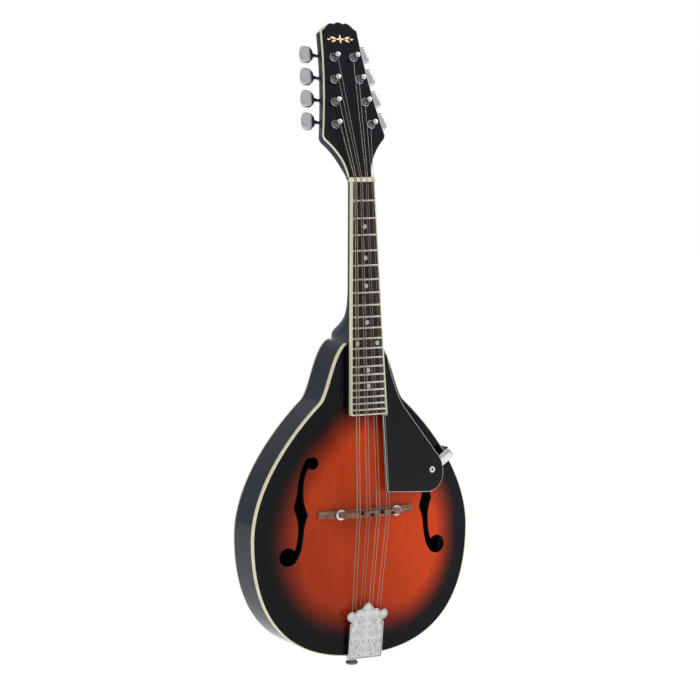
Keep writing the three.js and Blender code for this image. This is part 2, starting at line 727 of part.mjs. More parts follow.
// ---------------------------------------------------------------- bridge
function bridgeBase() {
  const raise = 1.5; // the middle of the base stands clear between its two feet
  const [endStart, endThick] = [44, 3.2]; // the base thins out towards its ends
  const stations = [57, 46, 41, 18, 14].map((x) => [x, x > 14 ? GAP : GAP + raise]);
  const places = [...stations.map(([x, lift]) => [-x, lift]), ...stations.reverse()];
  const rings = places.map(([x, lift]) => {
    const back = topSurface(x, SADDLE_Z) - lift;
    const front = Math.abs(x) > endStart ? back - endThick : BRIDGE.front;
    return [
      new THREE.Vector3(x, front, SADDLE_Z - BRIDGE.halfDepth),
      new THREE.Vector3(x, front, SADDLE_Z + BRIDGE.halfDepth),
      new THREE.Vector3(x, back, SADDLE_Z + BRIDGE.halfDepth),
      new THREE.Vector3(x, back, SADDLE_Z - BRIDGE.halfDepth),
    ];
  });
  const holes = [-1, 1].map((side) => {
    const x = side * BRIDGE.studX;
    return boreOnY(x, SADDLE_Z, STUD_RADIUS + 0.1, BRIDGE.front - 1, BRIDGE.studFoot + GLUE);
  });
  return cut(loft(rings), holes);
}

function saddleBlank() {
  const [half, foot, crest] = [BRIDGE.saddleHalf, 3.3, 0.7];
  const section = (x, crown) => [
    new THREE.Vector3(x, BRIDGE.saddleBack, SADDLE_Z - foot),
    new THREE.Vector3(x, BRIDGE.saddleBack, SADDLE_Z + foot),
    new THREE.Vector3(x, crown, SADDLE_Z + crest),
    new THREE.Vector3(x, crown, SADDLE_Z - crest),
  ];
  const shoulder = BRIDGE.saddleTop + 3.4;
  const top = BRIDGE.saddleTop;
  return loft([
    section(-half, shoulder),
    section(2 - half, shoulder - 1.6),
    section(-24, top),
    section(24, top),
    section(half - 2, shoulder - 1.6),
    section(half, shoulder),
  ]);
}

function addBridge() {
  addPiece("bridge_base", "rosewood", bridgeBase());
  const studHole = (side) => {
    const end = BRIDGE.saddleBack - BRIDGE.studHole;
    return boreOnY(side * BRIDGE.studX, SADDLE_Z, STUD_RADIUS + GAP, end, BRIDGE.saddleBack + 1);
  };
  const notch = { half: 3.4, front: -52, back: -45.4, near: 1.4, far: 5 };
  const notches = [-1, 0, 1].map((place) => {
    const x = place * SADDLE_SPREAD.course;
    const side = place ? -1 : 1; // the middle step faces the neck and the others face the tail
    const [low, high] = [notch.near, notch.far].map((reach) => SADDLE_Z + side * reach).sort((p, q) => p - q);
    return box(x - notch.half, x + notch.half, notch.front, notch.back, low, high);
  });
  addPiece("bridge_saddle", "rosewood", cut(saddleBlank(), [studHole(-1), studHole(1), ...notches]));

  for (const [sideName, side] of [["bass", -1], ["treble", 1]]) {
    const x = side * BRIDGE.studX;
    const studEnd = BRIDGE.saddleBack - BRIDGE.studReach;
    const stud = boreOnY(x, SADDLE_Z, STUD_RADIUS, studEnd, BRIDGE.studFoot);
    addPiece("bridge_stud_" + sideName, "nickel", stud);
    const wheelBack = BRIDGE.saddleBack + GLUE + WHEEL.thick;
    const disc = boreOnY(x, SADDLE_Z, WHEEL.radius, BRIDGE.saddleBack + GLUE, wheelBack, 20);
    const bore = boreOnY(x, SADDLE_Z, STUD_RADIUS + 0.15, BRIDGE.saddleBack - 1, wheelBack + 1);
    addPiece("thumbwheel_" + sideName, "chrome", cut(disc, [bore]));
  }
}

// ---------------------------------------------------------------- tailpiece and strap button
const stringX = (index, spread) => {
  const course = Math.floor(index / 2) - 1.5;
  const inPair = (index % 2) - 0.5;
  return course * spread.course + inPair * spread.pair;
};

// Sheet-metal base: a plate on the soundboard, hooks for the strings and a leg over the tail.
function tailpieceBase() {
  const { sheet, half, legHalf, top, legEnd } = TAILPIECE;
  const face = RIM_FRONT - GAP;
  const tail = TAIL - 2 * GLUE;
  const onTop = vec2([
    [face, tail],
    [face - sheet, tail - sheet],
    [-29.4, top],
    [-28.2, top],
  ]);
  const leg = vec2([
    [face - sheet, tail],
    [face - sheet, tail - sheet],
    [legEnd, tail - sheet],
    [legEnd, tail],
  ]);
  const hooks = Array.from({ length: 8 }, (_, i) => {
    const x = stringX(i, HOOK_SPREAD);
    return box(x - HOOK.half, x + HOOK.half, HOOK.tip, -27.8, HOOK.z - 2.6, HOOK.z - 0.8);
  });
  const base = join([sideSlab(onTop, half), sideSlab(leg, legHalf), ...hooks]);
  return cut(base, [shankHole(), ...tailScrewHoles(1.5)]);
}

const tailScrewHoles = (radius) =>
  [-1, 1].map((side) =>
    new THREE.CylinderGeometry(radius, radius, 8, 8)
      .rotateX(90 * DEG)
      .translate(side * TAIL_SCREW.x, TAIL_SCREW.y, TAIL - 1),
  );

// Front sheet of the cover: a plain rectangle below, a scalloped crest above.
function coverOutline() {
  const half = new THREE.Shape();
  half.moveTo(COVER.half, 0);
  half.lineTo(COVER.half, COVER.shoulder);
  half.bezierCurveTo(22, 42, 24.2, 45, 24.2, 48.6);
  half.bezierCurveTo(24.2, 51.6, 22, 53.6, 19.6, 53.5);
  half.quadraticCurveTo(17, 53.4, 15.2, 51.6);
  half.quadraticCurveTo(12.4, 56.4, 8, 55);
  half.bezierCurveTo(5.6, 56.8, 3.6, 62.3, 0, 62.3);
  const line = half.getPoints(4);
  return [...line, ...mirrored(line.slice(0, -1)).reverse()];
}

const coverFrame = new THREE.Group();
coverFrame.position.set(0, COVER.y, COVER.z);
coverFrame.rotation.x = COVER.tilt;
mandolin.add(coverFrame);

function addTailpiece() {
  addPiece("tailpiece_base", "nickel", tailpieceBase());

  const { half, sheet, flange, shoulder } = COVER;
  const cover = join([
    slab(coverOutline(), 0, sheet),
    box(-half, sheet - half, 0, flange, 0, shoulder),
    box(half - sheet, half, 0, flange, 0, shoulder),
    box(-half, half, 0, flange - 0.2, 0, sheet),
  ]);
  addPiece("tailpiece_cover", "chrome", cover, coverFrame);

  [-1, 1].forEach((side, i) => {
    const screw = turnedOnZ(
      [
        [0, -1.8],
        [1.6, -1.6],
        [2.5, -0.6],
        [2.5, 0],
        [1.2, 0],
        [1.2, 1.1],
        [0, 1.1],
      ],
      10,
    );
    screw.translate(side * TAIL_SCREW.x, TAIL_SCREW.y, TAIL - 1.5);
    addPiece("tailpiece_screw_" + (i + 1), "nickel", screw);
  });
}

function addStrapButton() {
  const { face, rim, waist, flange, shank } = STRAP_BUTTON;
  const button = turnedOnZ(
    [
      [0, 0],
      [face, 0],
      [rim, 1.6],
      [rim - 0.6, 3.4],
      [waist, 6],
      [waist, 8.6],
      [flange, 12],
      [flange, 13.3],
      [shank, 13.3],
      [shank, 34],
      [0, 36],
    ],
    20,
  );
  addPiece("strap_button", "nickel", button);
}

// ---------------------------------------------------------------- pickguard
const alongNeck = (z) => -(NUT.z - z) / Math.cos(NECK_TILT);

function pickguardOutline() {
  const top = 178; // distance from the nut where the guard starts beside the fretboard
  const boardEnd = BOARD.end + GAP;
  const shape = new THREE.Shape();
  shape.moveTo(boardHalf(top) + GAP, -top);
  shape.lineTo(boardHalf(boardEnd) + GAP, -boardEnd);
  shape.lineTo(17.2, -boardEnd);
  shape.lineTo(20, -329.4);
  shape.lineTo(68.5, -332.6);
  shape.bezierCurveTo(81, -333.2, 90.2, -324, 90.2, -311.5);
  shape.quadraticCurveTo(90.2, -301, 85.6, -294.6);
  shape.lineTo(45, -240.5);
  shape.bezierCurveTo(36, -228, 29, -206, 24.8, -184);
  return shape;
}

// Strip of spring steel under the guard, bent round the edge of the body.
const bracketReach = () => {
  const rim = sideLine(0);
  const start = new THREE.Vector2(EYELET.x, EYELET.z);
  for (let i = 0; i + 1 < rim.length; i++) {
    const edge = rim[i + 1].clone().sub(rim[i]);
    const turn = BRACKET_WAY.cross(edge);
    const toEdge = rim[i].clone().sub(start);
    const reach = toEdge.cross(edge) / turn;
    const along = toEdge.cross(BRACKET_WAY) / turn;
    if (reach > 0 && along >= 0 && along <= 1) return reach;
  }
  return 0;
};

const bracketFrame = () =>
  new THREE.Matrix4()
    .makeTranslation(EYELET.x, 0, EYELET.z)
    .multiply(new THREE.Matrix4().makeRotationY(-Math.atan2(BRACKET_WAY.y, BRACKET_WAY.x)));

function bracketScrewHole() {
  const bore = new THREE.CylinderGeometry(1.3, 1.3, 12, 10).rotateZ(90 * DEG);
  return bore.translate(bracketReach(), BRACKET.screwY, 0).applyMatrix4(bracketFrame());
}

function addPickguard() {
  const guardZ = alongNeck(EYELET.z);
  const guard = slab(pickguardOutline(), PICKGUARD.front, PICKGUARD.back, 8);
  const guardHole = boreOnY(EYELET.x, guardZ, 1.7, 0, 6);
  addPiece("pickguard", "blackPlastic", cut(guard, [guardHole]), neckFrame);

  const faceY = NUT.y - (NUT.z - EYELET.z) * Math.tan(NECK_TILT);
  const stripFront = faceY + PICKGUARD.back + 1.2;
  const { sheet, half, legEnd, screwY } = BRACKET;
  const leg = bracketReach() + 2 * GAP;
  const bracket = join([
    box(-half, leg + sheet, stripFront, stripFront + sheet, -half, half),
    box(leg, leg + sheet, stripFront, legEnd, -half, half),
  ]).applyMatrix4(bracketFrame());
  const eyeHole = boreOnY(EYELET.x, EYELET.z, 2, -50, -30);
  addPiece("pickguard_bracket", "chrome", cut(bracket, [eyeHole, bracketScrewHole()]));

  const rivet = turnedOnY(
    [
      [0, -1],
      [2.6, -1],
      [3.4, -GLUE],
      [1.4, -GLUE],
      [1.4, 6],
      [0, 6],
    ],
    14,
  );
  const eyelet = addPiece("pickguard_screw", "nickel", rivet, neckFrame);
  eyelet.position.set(EYELET.x, PICKGUARD.front, guardZ);

  const screw = turnedOnX(
    [
      [0, -4.2],
      [1, -3.4],
      [1, 0],
      [2.4, 0],
      [2.2, 1],
      [0, 1.4],
    ],
    10,
  );
  const outside = leg + sheet + GLUE;
  screw.translate(outside, screwY, 0).applyMatrix4(bracketFrame());
  addPiece("bracket_screw", "nickel", screw);
}

// ---------------------------------------------------------------- strings
// Every string runs from its hook, under the cover, over the saddle and the nut, to the inner side of
// its post. The outer string of each side goes to the post nearest the nut.
function stringPath(index, radius) {
  const rest = radius + 0.22; // clear of the nut's and saddle's crests
  const side = index < 4 ? -1 : 1;
  const post = side < 0 ? index : 7 - index;
  const hook = new THREE.Vector3(stringX(index, HOOK_SPREAD), HOOK.tip + 0.9, HOOK.z);
  const saddle = new THREE.Vector3(stringX(index, SADDLE_SPREAD), BRIDGE.saddleTop - rest, SADDLE_Z);
  const nut = new THREE.Vector3(stringX(index, NUT_SPREAD), NUT.front - rest, 0.2);
  const { x, z } = postAt(side, post);
  const end = new THREE.Vector3(x - side * (POST.radius + radius + 0.5), -5.6, z - 1.5);
  return [hook, saddle, nut.applyMatrix4(neckFrame.matrixWorld), end.applyMatrix4(headFrame.matrixWorld)];
}

function addStrings() {
  COURSES.forEach((course, c) => {
    [0, 1].forEach((inPair) => {
      const radius = STRING_RADIUS[course];
      const finish = c < 2 ? "bronze" : "steel";
      const path = stringPath(2 * c + inPair, radius);
      addPiece(`string_${course}${inPair + 1}`, finish, rod(path, radius));
    });
  });
}

addBody();
addNeck();
addFretboard();
addTuners();
addBridge();
addTailpiece();
addStrapButton();
addPickguard();
addStrings();

export default mandolin;
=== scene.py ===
import json
import math

import bmesh
import bpy
import numpy as np
from mathutils import Matrix, Vector
from mathutils.geometry import delaunay_2d_cdt


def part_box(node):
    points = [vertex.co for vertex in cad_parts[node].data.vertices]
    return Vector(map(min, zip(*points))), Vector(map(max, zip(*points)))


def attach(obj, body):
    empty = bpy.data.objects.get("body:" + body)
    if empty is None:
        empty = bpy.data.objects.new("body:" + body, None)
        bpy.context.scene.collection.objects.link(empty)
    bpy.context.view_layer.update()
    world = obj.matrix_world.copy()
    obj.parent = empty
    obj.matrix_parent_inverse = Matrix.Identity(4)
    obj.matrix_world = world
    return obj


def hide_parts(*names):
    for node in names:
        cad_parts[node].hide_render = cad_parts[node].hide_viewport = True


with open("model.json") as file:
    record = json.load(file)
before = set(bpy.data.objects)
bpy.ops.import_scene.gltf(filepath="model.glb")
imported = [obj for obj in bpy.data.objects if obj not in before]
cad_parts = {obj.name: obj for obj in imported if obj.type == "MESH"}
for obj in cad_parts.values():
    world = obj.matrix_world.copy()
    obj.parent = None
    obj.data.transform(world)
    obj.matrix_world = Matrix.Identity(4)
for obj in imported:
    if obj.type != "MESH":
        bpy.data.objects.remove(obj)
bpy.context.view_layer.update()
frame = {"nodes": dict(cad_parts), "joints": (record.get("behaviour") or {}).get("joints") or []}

MM = 0.001
DEG = math.pi / 180
TURN = 2 * math.pi


def node_box(node):
    """Lowest and highest corner of a CAD node, in millimetres."""
    low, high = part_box(node)
    return low / MM, high / MM


# ---------------------------------------------------------------- curves
def bezier(control, count):
    """Points and slopes along a cubic Bezier curve."""
    t = np.linspace(0, 1, count)[:, None]
    a, b, c, d = (np.array(p, float) for p in control)
    s = 1 - t
    points = s**3 * a + 3 * s**2 * t * b + 3 * s * t**2 * c + t**3 * d
    slopes = s**2 * (b - a) + 2 * s * t * (c - b) + t**2 * (d - c)
    return points, slopes


def quadratic(start, bend, end, count=8):
    t = np.linspace(0, 1, count)[:, None]
    a, b, c = (np.array(p, float) for p in (start, bend, end))
    return (1 - t) ** 2 * a + 2 * (1 - t) * t * b + t**2 * c


def chained(*curves):
    """One line from several that each start where the last one ends."""
    return np.vstack([curves[0]] + [curve[1:] for curve in curves[1:]])


def catmull(points):
    """A smooth line through the points, with six steps to a span."""
    p = np.array(points, float)
    p = np.vstack([2 * p[0] - p[1], p, 2 * p[-1] - p[-2]])
    t = np.linspace(0, 1, 6, endpoint=False)[:, None]
    spans = []
    for a, b, c, d in zip(p, p[1:], p[2:], p[3:]):
        cubic = 2 * b + (c - a) * t + (2 * a - 5 * b + 4 * c - d) * t**2 + (3 * b - a - 3 * c + d) * t**3
        spans.append(cubic / 2)
    return np.vstack(spans + [p[-2:-1]])


def rounded_path(points, radius, steps=6):
    """A path with its inner corners turned into bends of about this radius."""
    points = [np.array(p, float) for p in points]
    line = [points[0][None]]
    for before, corner, after in zip(points, points[1:], points[2:]):
        into, out = before - corner, after - corner
        reach = min(radius, 0.45 * np.linalg.norm(into), 0.45 * np.linalg.norm(out))
        start = corner + into / np.linalg.norm(into) * reach
        end = corner + out / np.linalg.norm(out) * reach
        line.append(quadratic(start, corner, end, steps))
    return np.vstack(line + [points[-1][None]])


def smoothstep(value, start, end):
    t = np.clip((np.asarray(value, float) - start) / (end - start), 0, 1)
    return t * t * (3 - 2 * t)


def mirrored(line):
    return line * np.array([-1, 1])


def both_sides(line):
    """A closed outline from its treble half, which ends on the middle line."""
    return np.vstack([line, mirrored(line[:-1])[::-1]])


def area(outline):
    x, z = outline.T
    return 0.5 * np.sum(x * np.roll(z, -1) - z * np.roll(x, -1))


def inset(outline, distance):
    """A closed outline moved inwards by the same distance everywhere."""
    if not distance:
        return outline
    edge = np.roll(outline, -1, 0) - outline
    edge /= np.maximum(np.linalg.norm(edge, axis=1), 1e-9)[:, None]
    normal = np.stack([-edge[:, 1], edge[:, 0]], 1) * (1 if area(outline) > 0 else -1)
    middle = normal + np.roll(normal, 1, 0)
    scale = np.maximum(np.sum(middle**2, 1), 0.8)[:, None] / 2
    return outline + distance * middle / scale


def circle(radius, x=0.0, z=0.0, count=32):
    turn = np.arange(count) / count * TURN
    return np.stack([x + radius * np.cos(turn), z + radius * np.sin(turn)], 1)


def inside(points, outline):
    """Which of the points lie inside the outline."""
    x, z = points[:, 0:1], points[:, 1:2]
    x0, z0 = outline.T
    x1, z1 = np.roll(outline, -1, 0).T
    crosses = (z0 > z) != (z1 > z)
    rise = np.where(np.abs(z1 - z0) < 1e-12, 1e-12, z1 - z0)
    return (crosses & (x < x0 + (z - z0) / rise * (x1 - x0))).sum(1) % 2 == 1


# ---------------------------------------------------------------- shapes: vertices and faces
def at_depth(outline, y):
    """An X, Z outline placed at a depth."""
    return np.insert(np.asarray(outline, float), 1, y, axis=1)


def loft(rings):
    """A solid through rings of equal length, with flat ends."""
    rings = [np.asarray(ring, float) for ring in rings]
    n, last = len(rings[0]), (len(rings) - 1) * len(rings[0])
    faces = []
    for low in range(0, last, n):
        high = low + n
        faces += [(low + i, low + (i + 1) % n, high + (i + 1) % n, high + i) for i in range(n)]
    faces += [tuple(range(n))[::-1], tuple(range(last, last + n))]
    return np.vstack(rings), faces


def slab(outline, front, back, front_edge=0.3, back_edge=0.3, steps=3):
    """A flat outline between two depths, with its edges rounded over."""
    rings = []
    for share in np.linspace(0, 1, steps + 1):
        turn = share * 90 * DEG
        shrink, depth = 1 - math.sin(turn), 1 - math.cos(turn)
        rings.append((front_edge * shrink, front + front_edge * depth))
    for share in np.linspace(0, 1, steps + 1):
        turn = share * 90 * DEG
        rings.append((back_edge * (1 - math.cos(turn)), back - back_edge * (1 - math.sin(turn))))
    return loft([at_depth(inset(outline, distance), y) for distance, y in rings])


def lathe(profile, sides=32):
    """Turned about Y. The profile is radius, y pairs; it starts and ends on the axis, or closes."""
    turn = np.arange(sides) / sides * TURN
    points, faces, rows = [], [], []
    for radius, y in profile:
        start = len(points)
        if radius < 1e-9:
            points.append((0, y, 0))
            rows.append([start] * sides)
        else:
            points += [(radius * math.cos(a), y, radius * math.sin(a)) for a in turn]
            rows.append(list(range(start, start + sides)))
    loops = list(zip(rows, rows[1:]))
    if profile[0][0] > 1e-9:
        loops.append((rows[-1], rows[0]))
    for low, high in loops:
        for i in range(sides):
            j = (i + 1) % sides
            face = tuple(dict.fromkeys((low[i], low[j], high[j], high[i])))
            if len(face) > 2:
                faces.append(face)
    return np.array(points, float), faces


def swept(path, section, side=(1, 0, 0), scale=None):
    """A section of u, v pairs drawn along a path; u lies along side, square to the path."""
    path = np.asarray(path, float)
    along = np.gradient(path, axis=0)
    along /= np.linalg.norm(along, axis=1)[:, None]
    side = np.asarray(side, float)
    rings = []
    for k, (point, way) in enumerate(zip(path, along)):
        u = side - way * (side @ way)
        u /= np.linalg.norm(u)
        v = np.cross(way, u)
        wide, deep = scale[k] if scale is not None else (1, 1)
        rings.append([point + u * a * wide + v * b * deep for a, b in section])
    return loft(rings)


def rod(path, radius, sides=10, side=(1, 0, 0)):
    return swept(path, circle(radius, count=sides), side)


def spiral_screw(start, end, root, crest, pitch, sides=24):
    """A rod along Y with a screw thread on it, drawn with eight rings to a turn."""
    rows = int((end - start) / pitch * 8) + 1
    rings = []
    for y in np.linspace(start, end, rows):
        turn = np.arange(sides) / sides
        phase = np.abs(((y / pitch - turn) % 1) - 0.5) * 2
        fade = min(1, (y - start) / pitch, (end - y) / pitch)
        radius = root + (crest - root) * smoothstep(phase, 0.35, 0.85) * fade
        x, z = radius * np.cos(turn * TURN), radius * np.sin(turn * TURN)
        rings.append(np.stack([x, np.full(sides, y), z], 1))
    return loft(rings)


def box_shape(low, high):
    x, y, z = np.array([low, high], float).T
    return loft([[(x[0], b, c), (x[1], b, c), (x[1], b2, c), (x[0], b2, c)] for b, b2, c in
                 [(y[0], y[1], z[0]), (y[0], y[1], z[1])]])


def moved(shape, matrix):
    points, faces = shape
    m = np.array(matrix)
    return points @ m[:3, :3].T + m[:3, 3], faces


def turned_to(axis):
    """Turns a shape made about +Y so that +Y points along axis."""
    return Vector((0, 1, 0)).rotation_difference(Vector(axis)).to_matrix().to_4x4()


def shifted(x=0.0, y=0.0, z=0.0):
    return Matrix.Translation((x, y, z))


def together(*shapes):
    """Several shapes as one list of vertices and faces."""
    points, faces, start = [], [], 0
    for shape_points, shape_faces in shapes:
        points.append(shape_points)
        faces += [tuple(i + start for i in face) for face in shape_faces]
        start += len(shape_points)
    return np.vstack(points), faces


def mesh_of(shape, name="shape"):
    mesh = bpy.data.meshes.new(name)
    points, faces = shape
    mesh.from_pydata((points * MM).tolist(), [], faces)
    work = bmesh.new()
    work.from_mesh(mesh)
    bmesh.ops.remove_doubles(work, verts=work.verts, dist=1e-7)
    bmesh.ops.recalc_face_normals(work, faces=work.faces)
    work.to_mesh(mesh)
    work.free()
    return mesh


def new_object(name, data):
    thing = bpy.data.objects.new(name, data)
    bpy.context.scene.collection.objects.link(thing)
    return thing


def combined(base, others, operation):
    """The base shape with others joined to it (UNION) or cut out of it (DIFFERENCE)."""
    made = [new_object("shape", mesh_of(shape)) for shape in [base] + others]
    for other in made[1:]:
        step = made[0].modifiers.new("step", "BOOLEAN")
        step.operation, step.object, step.solver = operation, other, "EXACT"
    graph = bpy.context.evaluated_depsgraph_get()
    result = bpy.data.meshes.new_from_object(made[0].evaluated_get(graph), depsgraph=graph)
    points = np.array([v.co for v in result.vertices]) / MM
    faces = [tuple(p.vertices) for p in result.polygons]
    for thing in made:
        bpy.data.objects.remove(thing)
    bpy.data.meshes.remove(result)
    return points, faces


def attached(name, mesh, replaces=None, body="root"):
    """A visible piece that rides on a CAD body, in place of the CAD node it replaces."""
    thing = new_object(name, mesh)
    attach(thing, body)
    if replaces:
        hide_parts(replaces)
    return thing


def smoothed(mesh, sharp):
    """Smooth shading, with edges kept where faces meet at more than sharp degrees."""
    mesh.polygons.foreach_set("use_smooth", [True] * len(mesh.polygons))
    mesh.set_sharp_from_angle(angle=sharp * DEG)


def add_piece(name, shape, material, replaces=None, body="root", sharp=35, more=()):
    """A visible piece made of a shape. more holds (shape, material) pairs joined to it."""
    mesh = mesh_of(shape, name)
    mesh.materials.append(material)
    if more:
        work = bmesh.new()
        work.from_mesh(mesh)
        for index, (extra, extra_material) in enumerate(more, 1):
            mesh.materials.append(extra_material)
            part = mesh_of(extra)
            before = len(work.faces)
            work.from_mesh(part)
            work.faces.ensure_lookup_table()
            for face in work.faces[before:]:
                face.material_index = index
            bpy.data.meshes.remove(part)
        work.to_mesh(mesh)
        work.free()
    smoothed(mesh, sharp)
    return attached(name, mesh, replaces, body)


# ---------------------------------------------------------------- materials
class Nodes:
    """A shader tree, with short ways to add nodes to it."""

    def __init__(self, tree):
        self.tree = tree

    def node(self, kind, inputs=None, **settings):
        made = self.tree.nodes.new("ShaderNode" + kind)
        for key, value in settings.items():
            setattr(made, key, value)
        for key, value in (inputs or {}).items():
            self.feed(made.inputs[key], value)
        return made

    def feed(self, socket, value):
        if isinstance(value, bpy.types.NodeSocket):
            self.tree.links.new(value, socket)
        elif isinstance(value, tuple) and len(value) == 3 and socket.type == "RGBA":
            socket.default_value = (*value, 1)
        else:
            socket.default_value = value

    def ramp(self, value, stops):
        made = self.node("ValToRGB", {"Fac": value})
        elements = made.color_ramp.elements
        while len(elements) < len(stops):
            elements.new(0.5)
        for element, (position, colour) in zip(elements, stops):
            element.position = position
            element.color = (*colour, 1) if isinstance(colour, tuple) else (colour,) * 3 + (1,)
        return made.outputs["Color"]

    def mixed(self, share, first, second, blend="MIX"):
        made = self.node("Mix", data_type="RGBA", blend_type=blend)
        for socket, value in zip((made.inputs[0], made.inputs[6], made.inputs[7]), (share, first, second)):
            self.feed(socket, value)
        return made.outputs[2]

    def maths(self, operation, first, second=0.0):
        made = self.node("Math", operation=operation)
        self.feed(made.inputs[0], first)
        self.feed(made.inputs[1], second)
        return made.outputs[0]


class Finish(Nodes):
    """A procedural material: a Principled shader and the nodes that drive it, worked out in millimetres."""

    def __init__(self, name):
        self.material = bpy.data.materials.new(name)
        self.material.use_nodes = True
        super().__init__(self.material.node_tree)
        self.shader = self.tree.nodes["Principled BSDF"]
        place = self.node("TexCoord").outputs["Object"]
        self.place = self.node("Mapping", {"Vector": place, "Scale": (1 / MM,) * 3}).outputs[0]

    def set(self, **inputs):
        for key, value in inputs.items():
            self.feed(self.shader.inputs[key.replace("_", " ")], value)

    def stretched(self, x, y, z):
        return self.node("Mapping", {"Vector": self.place, "Scale": (x, y, z)}).outputs[0]

    def noise(self, vector=None, scale=1.0, detail=3.0, rough=0.5):
        inputs = {"Vector": vector or self.place, "Scale": scale, "Detail": detail, "Roughness": rough}
        return self.node("TexNoise", inputs).outputs["Fac"]

    def attribute(self, name, output="Fac"):
        return self.node("Attribute", attribute_name=name).outputs[output]

    def bump(self, height, distance, strength=1.0):
        inputs = {"Height": height, "Distance": distance * MM, "Strength": strength}
        return self.node("Bump", inputs).outputs[0]


def lacquered(finish, colour, coat_rough, coat_ior):
    """Gloss clear coat with faint orange peel and polishing haze over a coloured layer."""
    peel = finish.bump(finish.noise(scale=0.16, detail=2), 0.05, 0.25)
    cloud = finish.noise(scale=0.05, detail=5)
    haze = finish.ramp(cloud, [(0.35, 0.6 * coat_rough), (0.7, 1.7 * coat_rough)])
    finish.set(Base_Color=colour, Roughness=0.42, Specular_IOR_Level=0.0)
    finish.set(Coat_Weight=1.0, Coat_IOR=coat_ior, Coat_Roughness=haze, Coat_Normal=peel)
    return finish.material


def sunburst():
    """Stained top: burst is 0 at the dark edge and 1 in the orange middle; a second attribute holds painted
    shade, darker towards the bass side and the tail.
    """
    f = Finish("sunburst_top")
    burst = f.attribute("burst")
    cloud = f.maths("MULTIPLY", f.maths("SUBTRACT", f.noise(scale=0.03, detail=4), 0.5), 0.09)
    stain = f.ramp(f.maths("ADD", burst, cloud), [
        (0.30, (0.0035, 0.0040, 0.0060)),
        (0.42, (0.030, 0.0060, 0.0050)),
        (0.54, (0.105, 0.0110, 0.0050)),
        (0.68, (0.235, 0.0190, 0.0050)),
        (0.84, (0.400, 0.0320, 0.0045)),
        (0.99, (0.560, 0.0480, 0.0045)),
    ])
    grain = f.noise(f.stretched(1.0, 1.0, 0.012), scale=1.1, detail=4, rough=0.6)
    lines = f.ramp(grain, [(0.38, 0.80), (0.60, 1.0)])
    silk = f.noise(f.stretched(0.2, 0.2, 0.5), scale=0.5, detail=3)
    # Painted shade: the colour is multiplied by a per-vertex attribute, darker towards the bass side and the
    # tail.
    wood = f.mixed(1.0, stain, f.attribute("stain", "Color"), "MULTIPLY")
    wood = f.mixed(0.55, wood, lines, "MULTIPLY")
    wood = f.mixed(0.5, wood, f.ramp(silk, [(0.3, 0.88), (0.7, 1.05)]), "MULTIPLY")
    return lacquered(f, wood, 0.04, 1.21)


def black_lacquer(name, dark, pale, coat_ior):
    f = Finish(name)
    return lacquered(f, f.ramp(f.noise(scale=0.02, detail=4), [(0.3, dark), (0.7, pale)]), 0.05, coat_ior)


def cream():
    f = Finish("cream_binding")
    tone = f.ramp(f.noise(scale=0.15, detail=5), [(0.3, (0.62, 0.56, 0.36)), (0.7, (0.74, 0.69, 0.49))])
    f.set(Base_Color=tone, Roughness=f.ramp(f.noise(scale=0.8), [(0.3, 0.22), (0.7, 0.34)]))
    f.set(Subsurface_Weight=0.15, Subsurface_Radius=(1.0, 0.7, 0.3), Subsurface_Scale=MM)
    return f.material


def bone():
    f = Finish("bone")
    flecks = f.noise(f.stretched(0.4, 2, 2), scale=2, detail=4)
    f.set(Base_Color=f.ramp(flecks, [(0.3, (0.62, 0.56, 0.40)), (0.65, (0.80, 0.75, 0.58))]), Roughness=0.38)
    f.set(Normal=f.bump(flecks, 0.05, 0.3))
    return f.material


def rosewood():
    """Dark streaky wood with open pores along the grain, oiled."""
    f = Finish("rosewood")
    streak = f.noise(f.stretched(1.0, 1.0, 0.03), scale=0.55, detail=6, rough=0.62)
    tone = f.ramp(streak, [(0.32, (0.0040, 0.0025, 0.0030)), (0.48, (0.015, 0.0062, 0.0056)),
                           (0.60, (0.046, 0.0170, 0.0120)), (0.75, (0.014, 0.0075, 0.0068))])
    depth = f.ramp(f.noise(f.stretched(2.2, 2.2, 0.14), scale=1.6, detail=2), [(0.36, 0.0), (0.44, 1.0)])
    f.set(Base_Color=f.mixed(0.6, tone, depth, "MULTIPLY"), Normal=f.bump(depth, 0.06, 0.5))
    f.set(Roughness=f.ramp(streak, [(0.3, 0.38), (0.7, 0.52)]), Specular_IOR_Level=0.18)
    return f.material


def bridge_wood():
    """Paler rosewood of the bridge. Where its notch attribute is 1 it is painted almost black: painted shade in
    the saddle's notches.
    """
    f = Finish("bridge_rosewood")
    streak = f.noise(f.stretched(0.05, 0.9, 0.9), scale=0.7, detail=6, rough=0.6)
    tone = f.ramp(streak, [(0.34, (0.040, 0.016, 0.009)), (0.52, (0.270, 0.115, 0.058)),
                           (0.70, (0.110, 0.044, 0.024))])
    pore = f.ramp(f.noise(f.stretched(0.2, 2.4, 2.4), scale=1.4, detail=2), [(0.38, 0.0), (0.46, 1.0)])
    wood = f.mixed(0.5, tone, pore, "MULTIPLY")
    # Painted shade: the saddle's notches are darkened almost to black.
    wood = f.mixed(f.attribute("grime"), wood, (0.012, 0.006, 0.004))
    f.set(Base_Color=wood, Roughness=0.5, Normal=f.bump(pore, 0.06, 0.5))
    return f.material


def bare_wood(name, dark, pale):
    f = Finish(name)
    rings = f.noise(f.stretched(1.0, 1.0, 0.02), scale=0.8, detail=4)
    f.set(Base_Color=f.ramp(rings, [(0.35, dark), (0.62, pale)]), Roughness=0.75)
    f.set(Normal=f.bump(rings, 0.08, 0.4))
    return f.material


